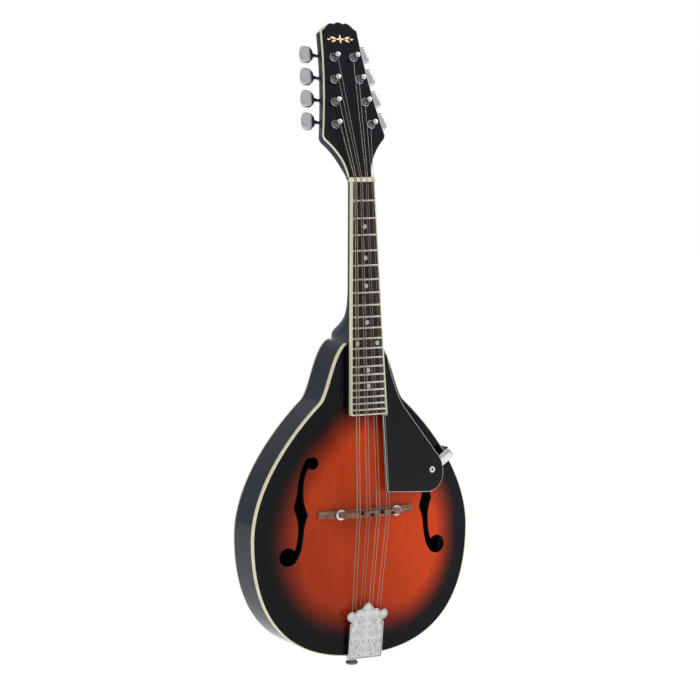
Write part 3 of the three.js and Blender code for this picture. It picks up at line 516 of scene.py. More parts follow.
def metal(name, colour, rough, brushed=(1.0, 1.0, 1.0)):
    """Plated or drawn metal with hairlines, handling haze and slightly duller patches."""
    f = Finish(name)
    hair = f.noise(f.stretched(*brushed), scale=3.0, detail=5, rough=0.65)
    haze = f.noise(scale=0.12, detail=4)
    low, high = 0.65 * rough, 1.35 * rough
    tarnish = tuple(0.86 * c for c in colour)
    f.set(Metallic=1.0, Base_Color=f.mixed(f.ramp(haze, [(0.40, 0.0), (0.75, 0.55)]), colour, tarnish))
    hairlines, fingers = f.ramp(hair, [(0.3, low), (0.7, high)]), f.ramp(haze, [(0.5, 0.0), (0.8, 0.06)])
    f.set(Roughness=f.maths("ADD", hairlines, fingers))
    f.set(Normal=f.bump(hair, 0.01, 0.25))
    return f.material


def wound():
    """Bronze wire wound round a steel core: its turns lie square to the string."""
    f = Finish("wound_bronze")
    turns = f.node("TexWave", {"Vector": f.place, "Scale": 1.15}, bands_direction="Z").outputs["Fac"]
    f.set(Metallic=1.0, Roughness=0.3, Normal=f.bump(turns, 0.12, 0.8))
    f.set(Base_Color=f.ramp(turns, [(0.1, (0.18, 0.15, 0.12)), (0.7, (0.43, 0.38, 0.31))]))
    return f.material


def plastic(name, colour, rough, specular=0.4):
    f = Finish(name)
    cloud = f.noise(scale=0.2, detail=4)
    dull = tuple(0.88 * c for c in colour)
    f.set(Base_Color=f.mixed(cloud, colour, dull), Normal=f.bump(f.noise(scale=0.25, detail=2), 0.04, 0.2))
    f.set(Roughness=f.ramp(f.noise(scale=1.2, detail=6), [(0.35, 0.7 * rough), (0.7, 1.4 * rough)]))
    f.set(Specular_IOR_Level=specular)
    return f.material


def pearl():
    f = Finish("pearl")
    layers = f.noise(f.stretched(0.6, 1.0, 1.6), scale=0.9, detail=4)
    f.set(Base_Color=f.ramp(layers, [(0.30, (0.36, 0.39, 0.36)), (0.5, (0.50, 0.48, 0.43)),
                                     (0.7, (0.40, 0.37, 0.38))]))
    f.set(Roughness=0.25, Specular_IOR_Level=0.3, Metallic=0.1)
    return f.material


SUNBURST = sunburst()
# Painted sheen: the rim, neck, back and edges get a blue-tinted copy of the black lacquer, standing in for the
# bluish soft light their glossy sides reflect; the head face's copy is neutral.
BLUE_SHEEN_LACQUER = black_lacquer("black_lacquer", (0.0037, 0.0087, 0.0180), (0.0057, 0.0120, 0.0235), 1.21)
FACE_LACQUER = black_lacquer("face_lacquer", (0.0050, 0.0055, 0.0080), (0.0070, 0.0075, 0.0105), 1.25)
CREAM = cream()
BONE = bone()
ROSEWOOD = rosewood()
BRIDGE_WOOD = bridge_wood()
SPRUCE = bare_wood("bare_spruce", (0.42, 0.28, 0.13), (0.62, 0.45, 0.24))
# Painted shade: the plates' inner faces are wood painted almost black, for the shade inside the body.
INSIDE_PAINTED_SHADE = bare_wood("inside_painted_shade", (0.004, 0.003, 0.003), (0.008, 0.006, 0.005))
CHROME = metal("chrome", (0.62, 0.63, 0.63), 0.10)
KEY_CHROME = metal("key_chrome", (0.50, 0.51, 0.52), 0.12)
PRESSED = metal("pressed_chrome", (0.53, 0.53, 0.52), 0.18)
TARNISHED = metal("tarnished_chrome", (0.33, 0.32, 0.28), 0.28)
KNOB_METAL = metal("knob_metal", (0.16, 0.16, 0.17), 0.16)
NICKEL = metal("nickel", (0.62, 0.61, 0.59), 0.24, (1.0, 1.0, 0.15))
FRET_WIRE = metal("fret_wire", (0.48, 0.46, 0.41), 0.3, (0.1, 1.0, 1.0))
BRASS = metal("gear_brass", (0.66, 0.50, 0.26), 0.26)
GOLD = metal("gold_foil", (0.83, 0.60, 0.32), 0.3)
STEEL = metal("plain_steel", (0.36, 0.34, 0.31), 0.24, (2.0, 2.0, 0.1))
WOUND = wound()
BLACK_PLASTIC = plastic("black_plastic", (0.0060, 0.0058, 0.0075), 0.16, 0.17)
WHITE_PLY = plastic("white_ply", (0.72, 0.71, 0.66), 0.3)
PEARL = pearl()

# ---------------------------------------------------------------- frames of the neck and head
joints = {joint["name"]: joint for joint in frame["joints"]}
post_axis = Vector(joints["post_bass_1_turn"]["axis"])

NECK_TILT = 3 * DEG
HEAD_LEAN = math.atan2(post_axis.z, -post_axis.y)
BOARD_THICK = 5.0
board_low, board_high = node_box("fretboard_binding")
NUT_Z = board_high.z
NUT_Y = board_high.y - BOARD_THICK * math.cos(NECK_TILT)
BOARD_END = (NUT_Z - board_low.z - BOARD_THICK * math.sin(NECK_TILT)) / math.cos(NECK_TILT)
NECK = shifted(0, NUT_Y, NUT_Z) @ Matrix.Rotation(-NECK_TILT, 4, "X")
HEAD = Matrix.Translation(NECK @ Vector((0, BOARD_THICK, 0))) @ Matrix.Rotation(-HEAD_LEAN, 4, "X")

SCALE_LENGTH = 350.0
SADDLE_Z = NUT_Z - SCALE_LENGTH * math.cos(NECK_TILT)
FRETS = 20
BOARD = {"nut_half": 13.75, "widening": 0.0325, "binding": 1.5}


def board_half(distance):
    return BOARD["nut_half"] + BOARD["widening"] * distance


def fret_distance(number):
    return SCALE_LENGTH * (1 - 2 ** (-number / 12))


# ---------------------------------------------------------------- body
rim_low, rim_high = node_box("rim_treble_side")
top_low, top_high = node_box("binding_top")
back_high = node_box("binding_back")[1]
WIDEST = rim_high.x
TAIL = rim_low.z
BODY_END = top_high.z
RIM_FRONT, RIM_TOP = top_low.y, rim_low.y
RIM_BACK, RIM_FOOT = back_high.y, rim_high.y
BINDING = 1.3
RIM_THICK = 2.6
ARCH_CENTRE = TAIL + 135
TOP_ARCH, TOP_EDGE, TOP_HOLLOW = 7.0, 4.9, 1.2
BACK_ARCH, BACK_EDGE = 8.0, 3.0

SIDE_CURVES = [
    [(0, TAIL), (12, TAIL), (WIDEST, TAIL - 10), (WIDEST, TAIL + 131)],
    [(WIDEST, TAIL + 131), (WIDEST, TAIL + 198), (66.8, TAIL + 258), (51, TAIL + 272)],
    [(51, TAIL + 272), (40.2, TAIL + 281), (36, TAIL + 323), (20, BODY_END)],
    [(20, BODY_END), (17.8, BODY_END + 1.6), (14, BODY_END + 2.8), (9, BODY_END + 3)],  # on into the heel
]
SIDE_COUNTS = [130, 66, 44, 9]


def side_line(distance=0.0, finer=1):
    """The treble side of the body, tail to neck, drawn a distance inside the rim's outer face."""
    lines = []
    for curve, count in zip(SIDE_CURVES, SIDE_COUNTS):
        points, slopes = bezier(curve, count * finer)
        slopes /= np.linalg.norm(slopes, axis=1)[:, None]
        lines.append(points + distance * np.stack([-slopes[:, 1], slopes[:, 0]], 1))
    return chained(*lines)


def whole_line(distance=0.0, finer=1):
    """From the bass end at the neck round the tail to the treble end."""
    treble = side_line(distance, finer)
    return np.vstack([mirrored(treble[1:])[::-1], treble])


def edge_reach():
    """Distance from the arches' centre to the plates' edge, against direction."""
    line = whole_line(BINDING, 6)
    across = np.linspace(line[-1], line[0], 60)
    line = np.vstack([line, across[1:-1]]) - (0, ARCH_CENTRE)
    turn = np.arctan2(line[:, 0], -line[:, 1])
    order = np.argsort(turn)
    return turn[order], np.linalg.norm(line, axis=1)[order]


REACH_TURN, REACH = edge_reach()


def edge_share(x, z):
    """How far a point lies from the arches' centre, as a share of the way to the plates' edge."""
    dx, dz = np.asarray(x, float), np.asarray(z, float) - ARCH_CENTRE
    reach = np.interp(np.arctan2(dx, -dz), REACH_TURN, REACH, period=TURN)
    return np.hypot(dx, dz) / reach


def arch(share):
    return np.maximum(0, 1 - share**2) ** 1.5


def top_front(x, z):
    return RIM_FRONT - TOP_ARCH * arch(edge_share(x, z))


def top_back(x, z):
    return RIM_FRONT + TOP_EDGE - (TOP_ARCH + TOP_HOLLOW) * arch(edge_share(x, z))


def back_back(x, z):
    return RIM_BACK + BACK_ARCH * arch(edge_share(x, z))


def back_front(x, z):
    return RIM_BACK - BACK_EDGE + BACK_ARCH * arch(edge_share(x, z))


F_EYES = [(60.5, 225.5, 6.6), (90.0, 128.0, 9.8)]  # x, z and radius of the treble f-hole's eyes
F_OUTER_UPPER = [(60, 231), (67, 230.6), (73, 221), (77, 208), (79.4, 194), (83.5, 179.5)]
F_OUTER_LOWER = [(83.5, 179.5), (79.6, 168), (78.6, 155), (80.3, 141), (84, 131), (88, 119)]
F_INNER_LOWER = [(82, 121), (76.5, 130), (73.2, 143), (71.2, 158), (67.2, 171.5)]
F_INNER_UPPER = [(67.2, 171.5), (71, 184), (71.8, 197), (70, 211), (65.5, 221)]


def f_hole_outlines(side):
    stem = np.vstack([catmull(F_OUTER_UPPER), catmull(F_OUTER_LOWER)[1:], catmull(F_INNER_LOWER),
                      catmull(F_INNER_UPPER)[1:]])
    outlines = [stem] + [circle(radius, x, z, 48) for x, z, radius in F_EYES]
    return [outline if side > 0 else mirrored(outline)[::-1] for outline in outlines]


def plate_points(outline, holes):
    """Points of a plate's mesh: its edge, rings that follow the edge, and the holes' edges."""
    centre = np.array([0, ARCH_CENTRE])
    layers = [outline]
    for share in 1 - np.linspace(0, 1, 34)[1:] ** 1.15:
        count = max(6, int(len(outline) * share * 0.62))
        pick = (np.arange(count) + 0.5 * (len(layers) % 2)) / count * (len(outline) - 1)
        ring = np.stack([np.interp(pick, np.arange(len(outline)), outline[:, k]) for k in (0, 1)], 1)
        layers.append(centre + (ring - centre) * max(share, 0.01))
    points = np.vstack(layers[1:])
    for hole in holes:
        near = np.min(np.linalg.norm(points[:, None] - hole[None], axis=2), axis=1)
        points = points[(near > 1.0) & ~inside(points, hole)]
    return np.vstack([outline, points] + list(holes))


def arch_normals(surface, sign, x, z):
    """Normals of an arched surface at points on it, from its own slope."""
    step = 0.05
    dx = (surface(x + step, z) - surface(x - step, z)) / (2 * step)
    dz = (surface(x, z + step) - surface(x, z - step)) / (2 * step)
    normal = np.stack([-dx, np.ones(len(x)), -dz], 1) * sign
    return normal / np.linalg.norm(normal, axis=1)[:, None]


def plate_triangles(outline, holes):
    """Flat points and triangles that fill an outline and leave its holes open."""
    points = plate_points(outline, holes)
    edges, start = [], len(points) - sum(map(len, holes))
    for loop in [outline] + holes:
        at = 0 if loop is outline else start
        start += 0 if loop is outline else len(loop)
        edges += [(at + i, at + (i + 1) % len(loop)) for i in range(len(loop))]
    flat, _, triangles, *_ = delaunay_2d_cdt([Vector(p) for p in points], edges, [], 0, 1e-5)
    flat = np.array([tuple(p) for p in flat])
    triangles = np.array(triangles)
    middle = flat[triangles].mean(1)
    keep = inside(middle, outline)
    for hole in holes:
        keep &= ~inside(middle, hole)
    used, triangles = np.unique(triangles[keep], return_inverse=True)
    return flat[used], triangles.reshape(-1, 3)


def arched_plate(name, front, back, materials, holes, replaces):
    """A carved plate. Its normals come from the arch's own slope, so reflections run smoothly."""
    flat, triangles = plate_triangles(whole_line(BINDING), holes)
    n = len(flat)
    sides = dict.fromkeys(edge for a, b, c in triangles for edge in ((a, b), (b, c), (c, a)))
    rim = [edge for edge in sides if (edge[1], edge[0]) not in sides]
    x, z = flat.T
    vertices = np.vstack([at_depth(flat, 0), at_depth(flat, 0)])
    vertices[:n, 1], vertices[n:, 1] = front(x, z), back(x, z)
    faces = [tuple(t) for t in triangles] + [tuple(t[::-1] + n) for t in triangles]
    faces += [(b, a, a + n, b + n) for a, b in rim]

    mesh = bpy.data.meshes.new(name)
    mesh.from_pydata((vertices * MM).tolist(), [], faces)
    if mesh.polygons[0].normal.y > 0:
        mesh.flip_normals()
    for material in materials:
        mesh.materials.append(material)
    slots = [0] * len(triangles) + [1] * len(triangles) + [2] * len(rim)
    mesh.polygons.foreach_set("material_index", slots)
    mesh.polygons.foreach_set("use_smooth", [True] * len(slots))
    slope = np.vstack([arch_normals(front, -1, x, z), arch_normals(back, 1, x, z)])
    normals = []
    for face in mesh.polygons:
        on_rim = face.material_index == 2
        normals += [tuple(face.normal) if on_rim else tuple(slope[v]) for v in face.vertices]
    mesh.normals_split_custom_set(normals)
    return attached(name, mesh, replaces), np.vstack([flat, flat])


def burst_share(points):
    """0 at the dark edge and 1 in the orange middle: an oval, held back from the body's edge."""
    outline = whole_line()[::2]
    edge = np.concatenate([np.min(np.linalg.norm(part[:, None] - outline[None], axis=2), axis=1)
                           for part in np.array_split(points, 8)])
    x, z = points.T
    fade = 54 - 14 * smoothstep(x, 10, 80)  # width of the edge's fade, narrower on the treble side
    oval = np.sqrt(((x - 5) / 113) ** 2 + ((z - 156) / 121) ** 2)
    from_edge = edge / fade
    from_oval = (1.20 - oval) / 0.36
    soft = 12
    return np.clip(-np.log(np.exp(-soft * from_edge) + np.exp(-soft * from_oval)) / soft, 0, 1)


def painted_bass_side_shade(points):
    """Painted shade that the top's colour is multiplied by: 0.6 at the bass side, rising to 1 at the treble
    side's upper half.
    """
    x, z = points.T
    across = x + 0.5 * (z - 140)
    return 0.60 + 0.18 * smoothstep(across, -80, -25) + 0.22 * smoothstep(across, 0, 60)


def swept_edge(section, start, stop):
    """A strip that follows the body's outline. Its section is (inset, y) pairs."""
    lines = [whole_line(distance)[start:stop] for distance, _ in section]
    depths = [y for _, y in section]
    rings = [[(line[k][0], y, line[k][1]) for line, y in zip(lines, depths)] for k in range(len(lines[0]))]
    return loft(rings)


def add_attribute(thing, name, values):
    """A number for each of a piece's vertices, which its material reads."""
    data = thing.data.attributes.new(name, "FLOAT", "POINT").data
    data.foreach_set("value", np.asarray(values, np.float32))


def build_body():
    holes = f_hole_outlines(1) + f_hole_outlines(-1)
    top, points = arched_plate("soundboard", top_front, top_back, [SUNBURST, INSIDE_PAINTED_SHADE, BLUE_SHEEN_LACQUER], holes,
                               replaces="top_plate")
    add_attribute(top, "burst", burst_share(points))
    # Painted shade across the top, darker towards the bass side and the tail.
    add_attribute(top, "stain", painted_bass_side_shade(points))
    arched_plate("back", back_back, back_front, [BLUE_SHEEN_LACQUER, INSIDE_PAINTED_SHADE, BLUE_SHEEN_LACQUER], [], replaces="back_plate")

    middle = len(whole_line()) // 2
    wall = [(0, RIM_TOP), (0, RIM_FOOT), (RIM_THICK, RIM_FOOT), (RIM_THICK, RIM_TOP)]
    for name, start, stop in (("bass", 0, middle + 1), ("treble", middle, None)):
        add_piece(f"rim_{name}", swept_edge(wall, start, stop), BLUE_SHEEN_LACQUER, f"rim_{name}_side")
    edge = 0.5  # the bindings' outer corners are scraped round
    for name, glued, face, way in (("top", RIM_TOP, RIM_FRONT, 1), ("back", RIM_FOOT, RIM_BACK, -1)):
        section = [
            (0, glued), (0, face + way * edge), (0.15, face + way * 0.15), (edge, face),
            (BINDING, face), (BINDING, glued),
        ]
        add_piece(f"{name}_binding", swept_edge(section, 0, None), CREAM, f"binding_{name}")
    for node in ("neck_block", "tail_block", "lining_top", "lining_back", "tone_bar_bass", "tone_bar_treble"):
        mesh = frame["nodes"][node].data
        mesh.materials.clear()
        mesh.materials.append(SPRUCE)


# ---------------------------------------------------------------- head outline
HEAD_THICK = 14.0
HEAD_BINDING = {"width": 0.65, "depth": 3.0}
HEAD_START = 6.0
CROWN_CORNER = (21.6, 167.5)


def head_line(d=0.0):
    """Treble half of the head's outline, a distance d inside it, from the nut to the crown's middle."""
    shoulder = (33.4 - d, 45 + 0.4 * d)
    flare, _ = bezier([(13.9 - d, HEAD_START), (14.4 - d, 20), (21.5 - d, 33.5), shoulder], 26)
    return chained(
        flare,
        quadratic(shoulder, (37.6 - d, 48.6 + 0.3 * d), (36.7 - d, 53), 9),
        quadratic((36.7 - d, 53), (24.7 - d, 110), (CROWN_CORNER[0] - d, CROWN_CORNER[1] - 0.5 * d), 30),
        crown_line(d),
    )


def crown_line(d=0.0):
    """The head's crown, from its treble corner to the middle: three scallops to a side."""
    corner = (CROWN_CORNER[0] - d, CROWN_CORNER[1] - 0.5 * d)
    return chained(
        quadratic(corner, (18.5 - d, 169.6 - d), (15.5 - d, 173 - d), 7),
        quadratic((15.5 - d, 173 - d), (11 - d, 177.8 - d), (6 - d, 175.4 - d), 9),
        quadratic((6 - d, 175.4 - d), (2.5, 177.4 - d), (0, 177.4 - d), 7),
    )


SIDE = head_line()
SIDE = SIDE[: np.argmax(SIDE[:, 1] >= CROWN_CORNER[1]) + 1]
CROWN = crown_line()[::-1]


def head_half(u):
    """Half-width of the head a distance u above the nut."""
    lead = BOARD["nut_half"] + (13.9 - BOARD["nut_half"]) * smoothstep(u, 0, HEAD_START)
    order = np.argsort(SIDE[:, 1])
    return float(np.where(u <= HEAD_START, lead, np.interp(u, SIDE[order, 1], SIDE[order, 0])))


# ---------------------------------------------------------------- neck
ACROSS = np.sin(np.linspace(-1, 1, 45) * 90 * DEG)
HEEL = {"start": 112.0, "end": 162.0, "depth": 59.4, "half": 10.0}
HEEL_SWEEP = catmull([  # distance from the nut and the neck's depth
    (112, 22), (124, 23.2), (133, 25.6), (140, 30.2), (146, 37.4), (151, 46.4), (154.4, 53.2), (156.8, 57.0),
    (159, 58.8), (162, 59.3),
])
SHAFT_DEPTH = 20.0  # at the nut, front of the fretboard to back
HEAD_ROOT = 15.2  # depth where the shaft turns into the head
CROWN_BEND = 4.0  # how far below the crown's corners the rings begin to follow it


def neck_section(half, front, depth, flat, power, place):
    """A closed ring: the back's curve from treble to bass, then the flat front back to treble."""
    x = ACROSS[::-1] * half
    reach = np.clip((np.abs(x) - flat) / max(half - flat, 1e-6), 0, 1)
    back = front + (depth - front) * np.maximum(0, 1 - reach**power) ** (1 / power)
    ring = [(a, b) for a, b in zip(x, back)] + [(a, front) for a in x[::-1][1:-1]]
    return [place(a, b) for a, b in ring]


def in_frame(matrix, z):
    """Puts a section's x, y points on the plane at height z of a frame."""
    return lambda x, y: tuple(matrix @ Vector((x, y, z)))


def heel_rings(bottom):
    """Rings against the body, up the heel and along the shaft, down towards the nut."""
    def against_body(x, y):
        square = (NUT_Z - BODY_END - 0.1) / math.cos(NECK_TILT) - y * math.tan(NECK_TILT)
        return tuple(NECK @ Vector((x, y, -square)))

    rings = [neck_section(board_half(170), bottom, HEEL["depth"], HEEL["half"], 2.3, against_body)]
    heel, root = np.linspace(HEEL["end"], 140, 23), np.linspace(137, HEEL["start"], 9)
    for d in np.concatenate([heel, root, np.linspace(106, 8, 16)]):
        t = np.clip((d - HEEL["start"]) / (HEEL["end"] - HEEL["start"]), 0, 1)
        shaft = SHAFT_DEPTH + 2.0 * (d / HEEL["start"]) ** 1.3
        depth = np.interp(d, *HEEL_SWEEP.T) if d > HEEL["start"] else shaft
        flat = 1 + (HEEL["half"] - 1) * t**1.5
        rings.append(neck_section(board_half(d), bottom, depth, flat, 2 + 0.3 * t, in_frame(NECK, -d)))
    return rings


def head_rings(bottom):
    """Rings round the nut, where they lean back with the head and turn flat, and up the head."""
    rings = []
    nut = Matrix.Translation(NECK @ Vector((0, BOARD_THICK, 0)))
    for s in np.concatenate([np.linspace(-7, 7, 12), np.linspace(9, 60, 30), np.linspace(64, 160, 22)]):
        lean = NECK_TILT + (HEAD_LEAN - NECK_TILT) * smoothstep(s, -7, 7)
        line = NECK_TILT if s < 0 else HEAD_LEAN
        origin = nut @ Vector((0, s * math.sin(line), s * math.cos(line)))
        turn = Matrix.Translation(origin) @ Matrix.Rotation(-lean, 4, "X")
        flatten = smoothstep(s, -2, 34)
        depth = HEAD_ROOT + (HEAD_THICK - HEAD_ROOT) * smoothstep(s, -6, 16)
        front = bottom + (HEAD_BINDING["depth"] - bottom) * smoothstep(s, 3.0, HEAD_START)
        half = board_half(-s) if s < 0 else head_half(s)
        rings.append(neck_section(half, front, depth, 1 - flatten, 2 + 12 * flatten**2, in_frame(turn, 0)))
    return rings


def crown_rings():
    """The last rings, which bend up to follow the crown."""
    rings = []
    for share in (0.0, 0.35, 0.7, 0.9, 1.0):
        level = CROWN_CORNER[1] - CROWN_BEND * (1 - share)
        half = head_half(level)

        def on_crown(x, y, share=share, level=level, half=half):
            rise = np.interp(abs(x) / half * CROWN_CORNER[0], CROWN[:, 0], CROWN[:, 1])
            return tuple(HEAD @ Vector((x, y, level + (rise - CROWN_CORNER[1]) * share)))

        rings.append(neck_section(half, HEAD_BINDING["depth"], HEAD_THICK, 0, 14, on_crown))
    return rings


def neck_shape():
    """Neck and head as one solid; strips of quads close both ends, because the crown's end isn't flat."""
    gap = 0.05  # to the fretboard, and to the head's veneer
    points, faces = loft(heel_rings(BOARD_THICK + gap) + head_rings(gap) + crown_rings())
    faces = faces[:-2]
    n, m = 2 * len(ACROSS) - 2, len(ACROSS)
    for start, flip in ((0, 1), (len(points) - n, -1)):
        front = [0] + [n - i for i in range(1, m - 1)] + [m - 1]
        for i in range(m - 1):
            ring = (start + i, start + i + 1, start + front[i + 1], start + front[i])
            faces.append(tuple(dict.fromkeys(ring))[::flip])
    return points, faces


def edging(outer, inner, foot, face, corner, soft):
    """A binding between two outlines, from its foot to its face. Its outer edge is eased from the corner's
    depth, over the soft share of its width."""
    rings = []
    for out, into in zip(outer, inner):
        eased = out + soft * (into - out)
        line = [(out, foot), (out, corner), (eased, face), (into, face), (into, foot)]
        rings.append([(point[0], y, point[1]) for point, y in line])
    return loft(rings)


def tongue():
    """The neck's wood under the end of the fretboard, over the soundboard."""
    low_z, high_z = node_box("top_plate")[1].z - 73, BODY_END + 0.5
    rings = []
    for z, half, back in ((low_z, 20.8, -28.0), (high_z, 18.6, RIM_FRONT - 0.5)):
        front = NUT_Y - (NUT_Z - z) * math.tan(NECK_TILT) + BOARD_THICK + 0.1
        rings.append([(-half, front, z), (half, front, z), (half, back, z), (-half, back, z)])
    return loft(rings)


def build_neck():
    add_piece("neck_and_head", neck_shape(), BLUE_SHEEN_LACQUER, "neck")
    add_piece("neck_tongue", tongue(), BLUE_SHEEN_LACQUER)

    cap_low, cap_high = node_box("heel_cap")
    half, end = cap_high.x, cap_low.z + 11.5
    cap = chained(np.array([(half, cap_low.z), (half - 0.4, end - 6)]),
                  quadratic((half - 0.4, end - 6), (half - 2, end), (0, end), 12))
    add_piece("heel_plate", slab(both_sides(cap), cap_low.y, cap_high.y, 0.1, 0.7), BLACK_PLASTIC, "heel_cap")

    face = head_line(HEAD_BINDING["width"])
    veneer = slab(both_sides(face), 0, HEAD_BINDING["depth"], 0.05, 0.05, 1)
    add_piece("head_face", moved(veneer, HEAD), FACE_LACQUER, "head_veneer")
    edge = edging(both_sides(head_line()), both_sides(face), HEAD_BINDING["depth"], -0.02, 0.2, 0.25)
    add_piece("head_edge", moved(edge, HEAD), CREAM, "head_binding")
    add_piece("head_ornament", moved(ornament(), HEAD), GOLD)


def leaf(length, width, x, z, turn):
    t = np.linspace(0, math.pi, 15)
    half = np.stack([np.cos(t) * length / 2, np.sin(t) ** 1.6 * width / 2], 1)
    outline = np.vstack([half, (half * (1, -1))[1:-1][::-1]])
    c, s = math.cos(turn * DEG), math.sin(turn * DEG)
    return outline @ np.array([[c, s], [-s, c]]) + (x, z)


# Length, width, x, rise and tilt of the leaves to one side of the star.
LEAVES = [(7, 2.6, 8.4, 1.3, 16), (6, 2.2, 8.0, -2.0, -20), (4.6, 1.8, 13.6, -0.2, 2)]


def ornament():
    """A plain leaf spray let into the head: a four-pointed star between pairs of leaves."""
    z = 158.0
    turn = np.arange(48) / 48 * TURN
    radius = 1.5 + 3.2 * np.abs(np.cos(2 * turn)) ** 3
    outlines = [np.stack([radius * np.cos(turn), z + radius * np.sin(turn)], 1)]
    for side in (-1, 1):
        for length, width, x, rise, tilt in LEAVES:
            outlines.append(leaf(length, width, side * x, z + rise, side * tilt))
    return together(*[slab(outline, -0.06, 0.4, 0.05, 0.05, 1) for outline in outlines])


# ---------------------------------------------------------------- fretboard and nut
def board_outline(distance, corner):
    end = BOARD_END - distance
    nut_x, end_x = board_half(0) - distance, board_half(end) - distance
    side_x = board_half(end - corner) - distance
    half = chained(np.array([(nut_x, 0), (side_x, corner - end)]),
                   quadratic((side_x, corner - end), (end_x, -end), (end_x - corner, -end), 7))
    return np.vstack([half, mirrored(half)[::-1]])


FRET = {"half": 1.0, "height": 0.8}
# The frets that a dot lies before, and where each dot is across the board.
DOTS = [(3, [0]), (5, [0]), (7, [0]), (10, [0]), (12, [-12, 12]), (15, [0]), (17, [0])]


def fret(number):
    """Crowned wire with its ends filed down to the board."""
    z = fret_distance(number)
    half = board_half(z) - BOARD["binding"] - 0.1
    turn = np.linspace(0, 180, 11) * DEG
    rings = []
    for side in (-1, 1):
        for cut, rise in ((0, 0.25), (0.5, 0.8), (0.9, 1))[::-side]:
            x = side * (half - cut)
            high = FRET["height"] * rise
            crown = [(-high * math.sin(a) ** 0.8, FRET["half"] * math.cos(a)) for a in turn]
            rings.append([(x, y, along - z) for y, along in crown + [(0.4, -0.6), (0.4, 0.6)]])
    return loft(rings)


def nut_shape():
    """Bone nut with a slot under each string, in the neck's frame."""
    half, thick, foot = node_box("nut")[1].x, 5.0, BOARD_THICK + 1.4
    rings = []
    for x in np.linspace(-half, half, 191):
        slot = max(math.exp(-(((x - at) / (radius + 0.12)) ** 4)) for at, radius in NUT_SLOTS)
        ends = smoothstep(half - abs(x), 0, 0.8)
        crest = NUT_FRONT - 0.45 * (1 - slot) + 0.5 * (1 - ends)
        rings.append([(x, foot, 0.02), (x, foot, thick), (x, crest + 2.0, thick), (x, crest + 1.0, thick - 0.5),
                      (x, crest + 0.3, thick - 2.0), (x, crest, 1.2), (x, crest + 0.05, 0.4),
                      (x, crest + 0.35, 0.02)])
    return loft(rings)


def build_fretboard():
    board = slab(board_outline(BOARD["binding"], 2), 0, BOARD_THICK, 0.08, 0.05, 2)
    add_piece("fingerboard", moved(board, NECK), ROSEWOOD, "fretboard")
    wires = together(*[fret(n) for n in range(1, FRETS + 1)])
    add_piece("fret_wires", moved(wires, NECK), FRET_WIRE)

    edge = edging(board_outline(0, 3), board_outline(BOARD["binding"], 2), BOARD_THICK, 0, 0.25, 0.2)
    add_piece("board_edge", moved(edge, NECK), CREAM, "fretboard_binding")

    dots = []
    for number, places in DOTS:
        middle = (fret_distance(number - 1) + fret_distance(number)) / 2
        for x in places:
            dots.append(slab(circle(2.5, x, -middle, 28), -0.03, 0.5, 0.04, 0.05, 1))
    add_piece("position_dots", moved(together(*dots), NECK), PEARL)

    add_piece("nut_bone", moved(nut_shape(), NECK), BONE, "nut", sharp=50)


# ---------------------------------------------------------------- strings
COURSES = "gdae"
STRING_RADIUS = {"g": 0.5, "d": 0.35, "a": 0.25, "e": 0.22}
NUT_SPREAD, SADDLE_SPREAD, HOOK_SPREAD = (6.75, 2.1), (12, 3.6), (9.5, 3.8)
NUT_FRONT, SADDLE_TOP = -1.1, -48.3
REST_GAP = 0.22
saddle_low, saddle_high = node_box("bridge_saddle")
HOOK_Z = 47.0
HOOK_TIP = -30.6
WAIST = 2.5  # of the tuner posts, where the strings wind


def string_x(index, spread):
    return (index // 2 - 1.5) * spread[0] + (index % 2 - 0.5) * spread[1]


def string_radius(index):
    return STRING_RADIUS[COURSES[index // 2]]


NUT_SLOTS = [(string_x(i, NUT_SPREAD), string_radius(i)) for i in range(8)]


def post_of(index):
    """The post a string winds on: bass strings on the bass side, the outermost nearest the nut."""
    side = "bass" if index < 4 else "treble"
    number = (index if index < 4 else 7 - index) + 1
    return side, number


def post_place(side, number):
    """X and Z of a post on the head's face, in the head's own frame."""
    place = HEAD.inverted() @ (Vector(joints[f"post_{side}_{number}_turn"]["pos_m"]) / MM)
    return place.x, place.z


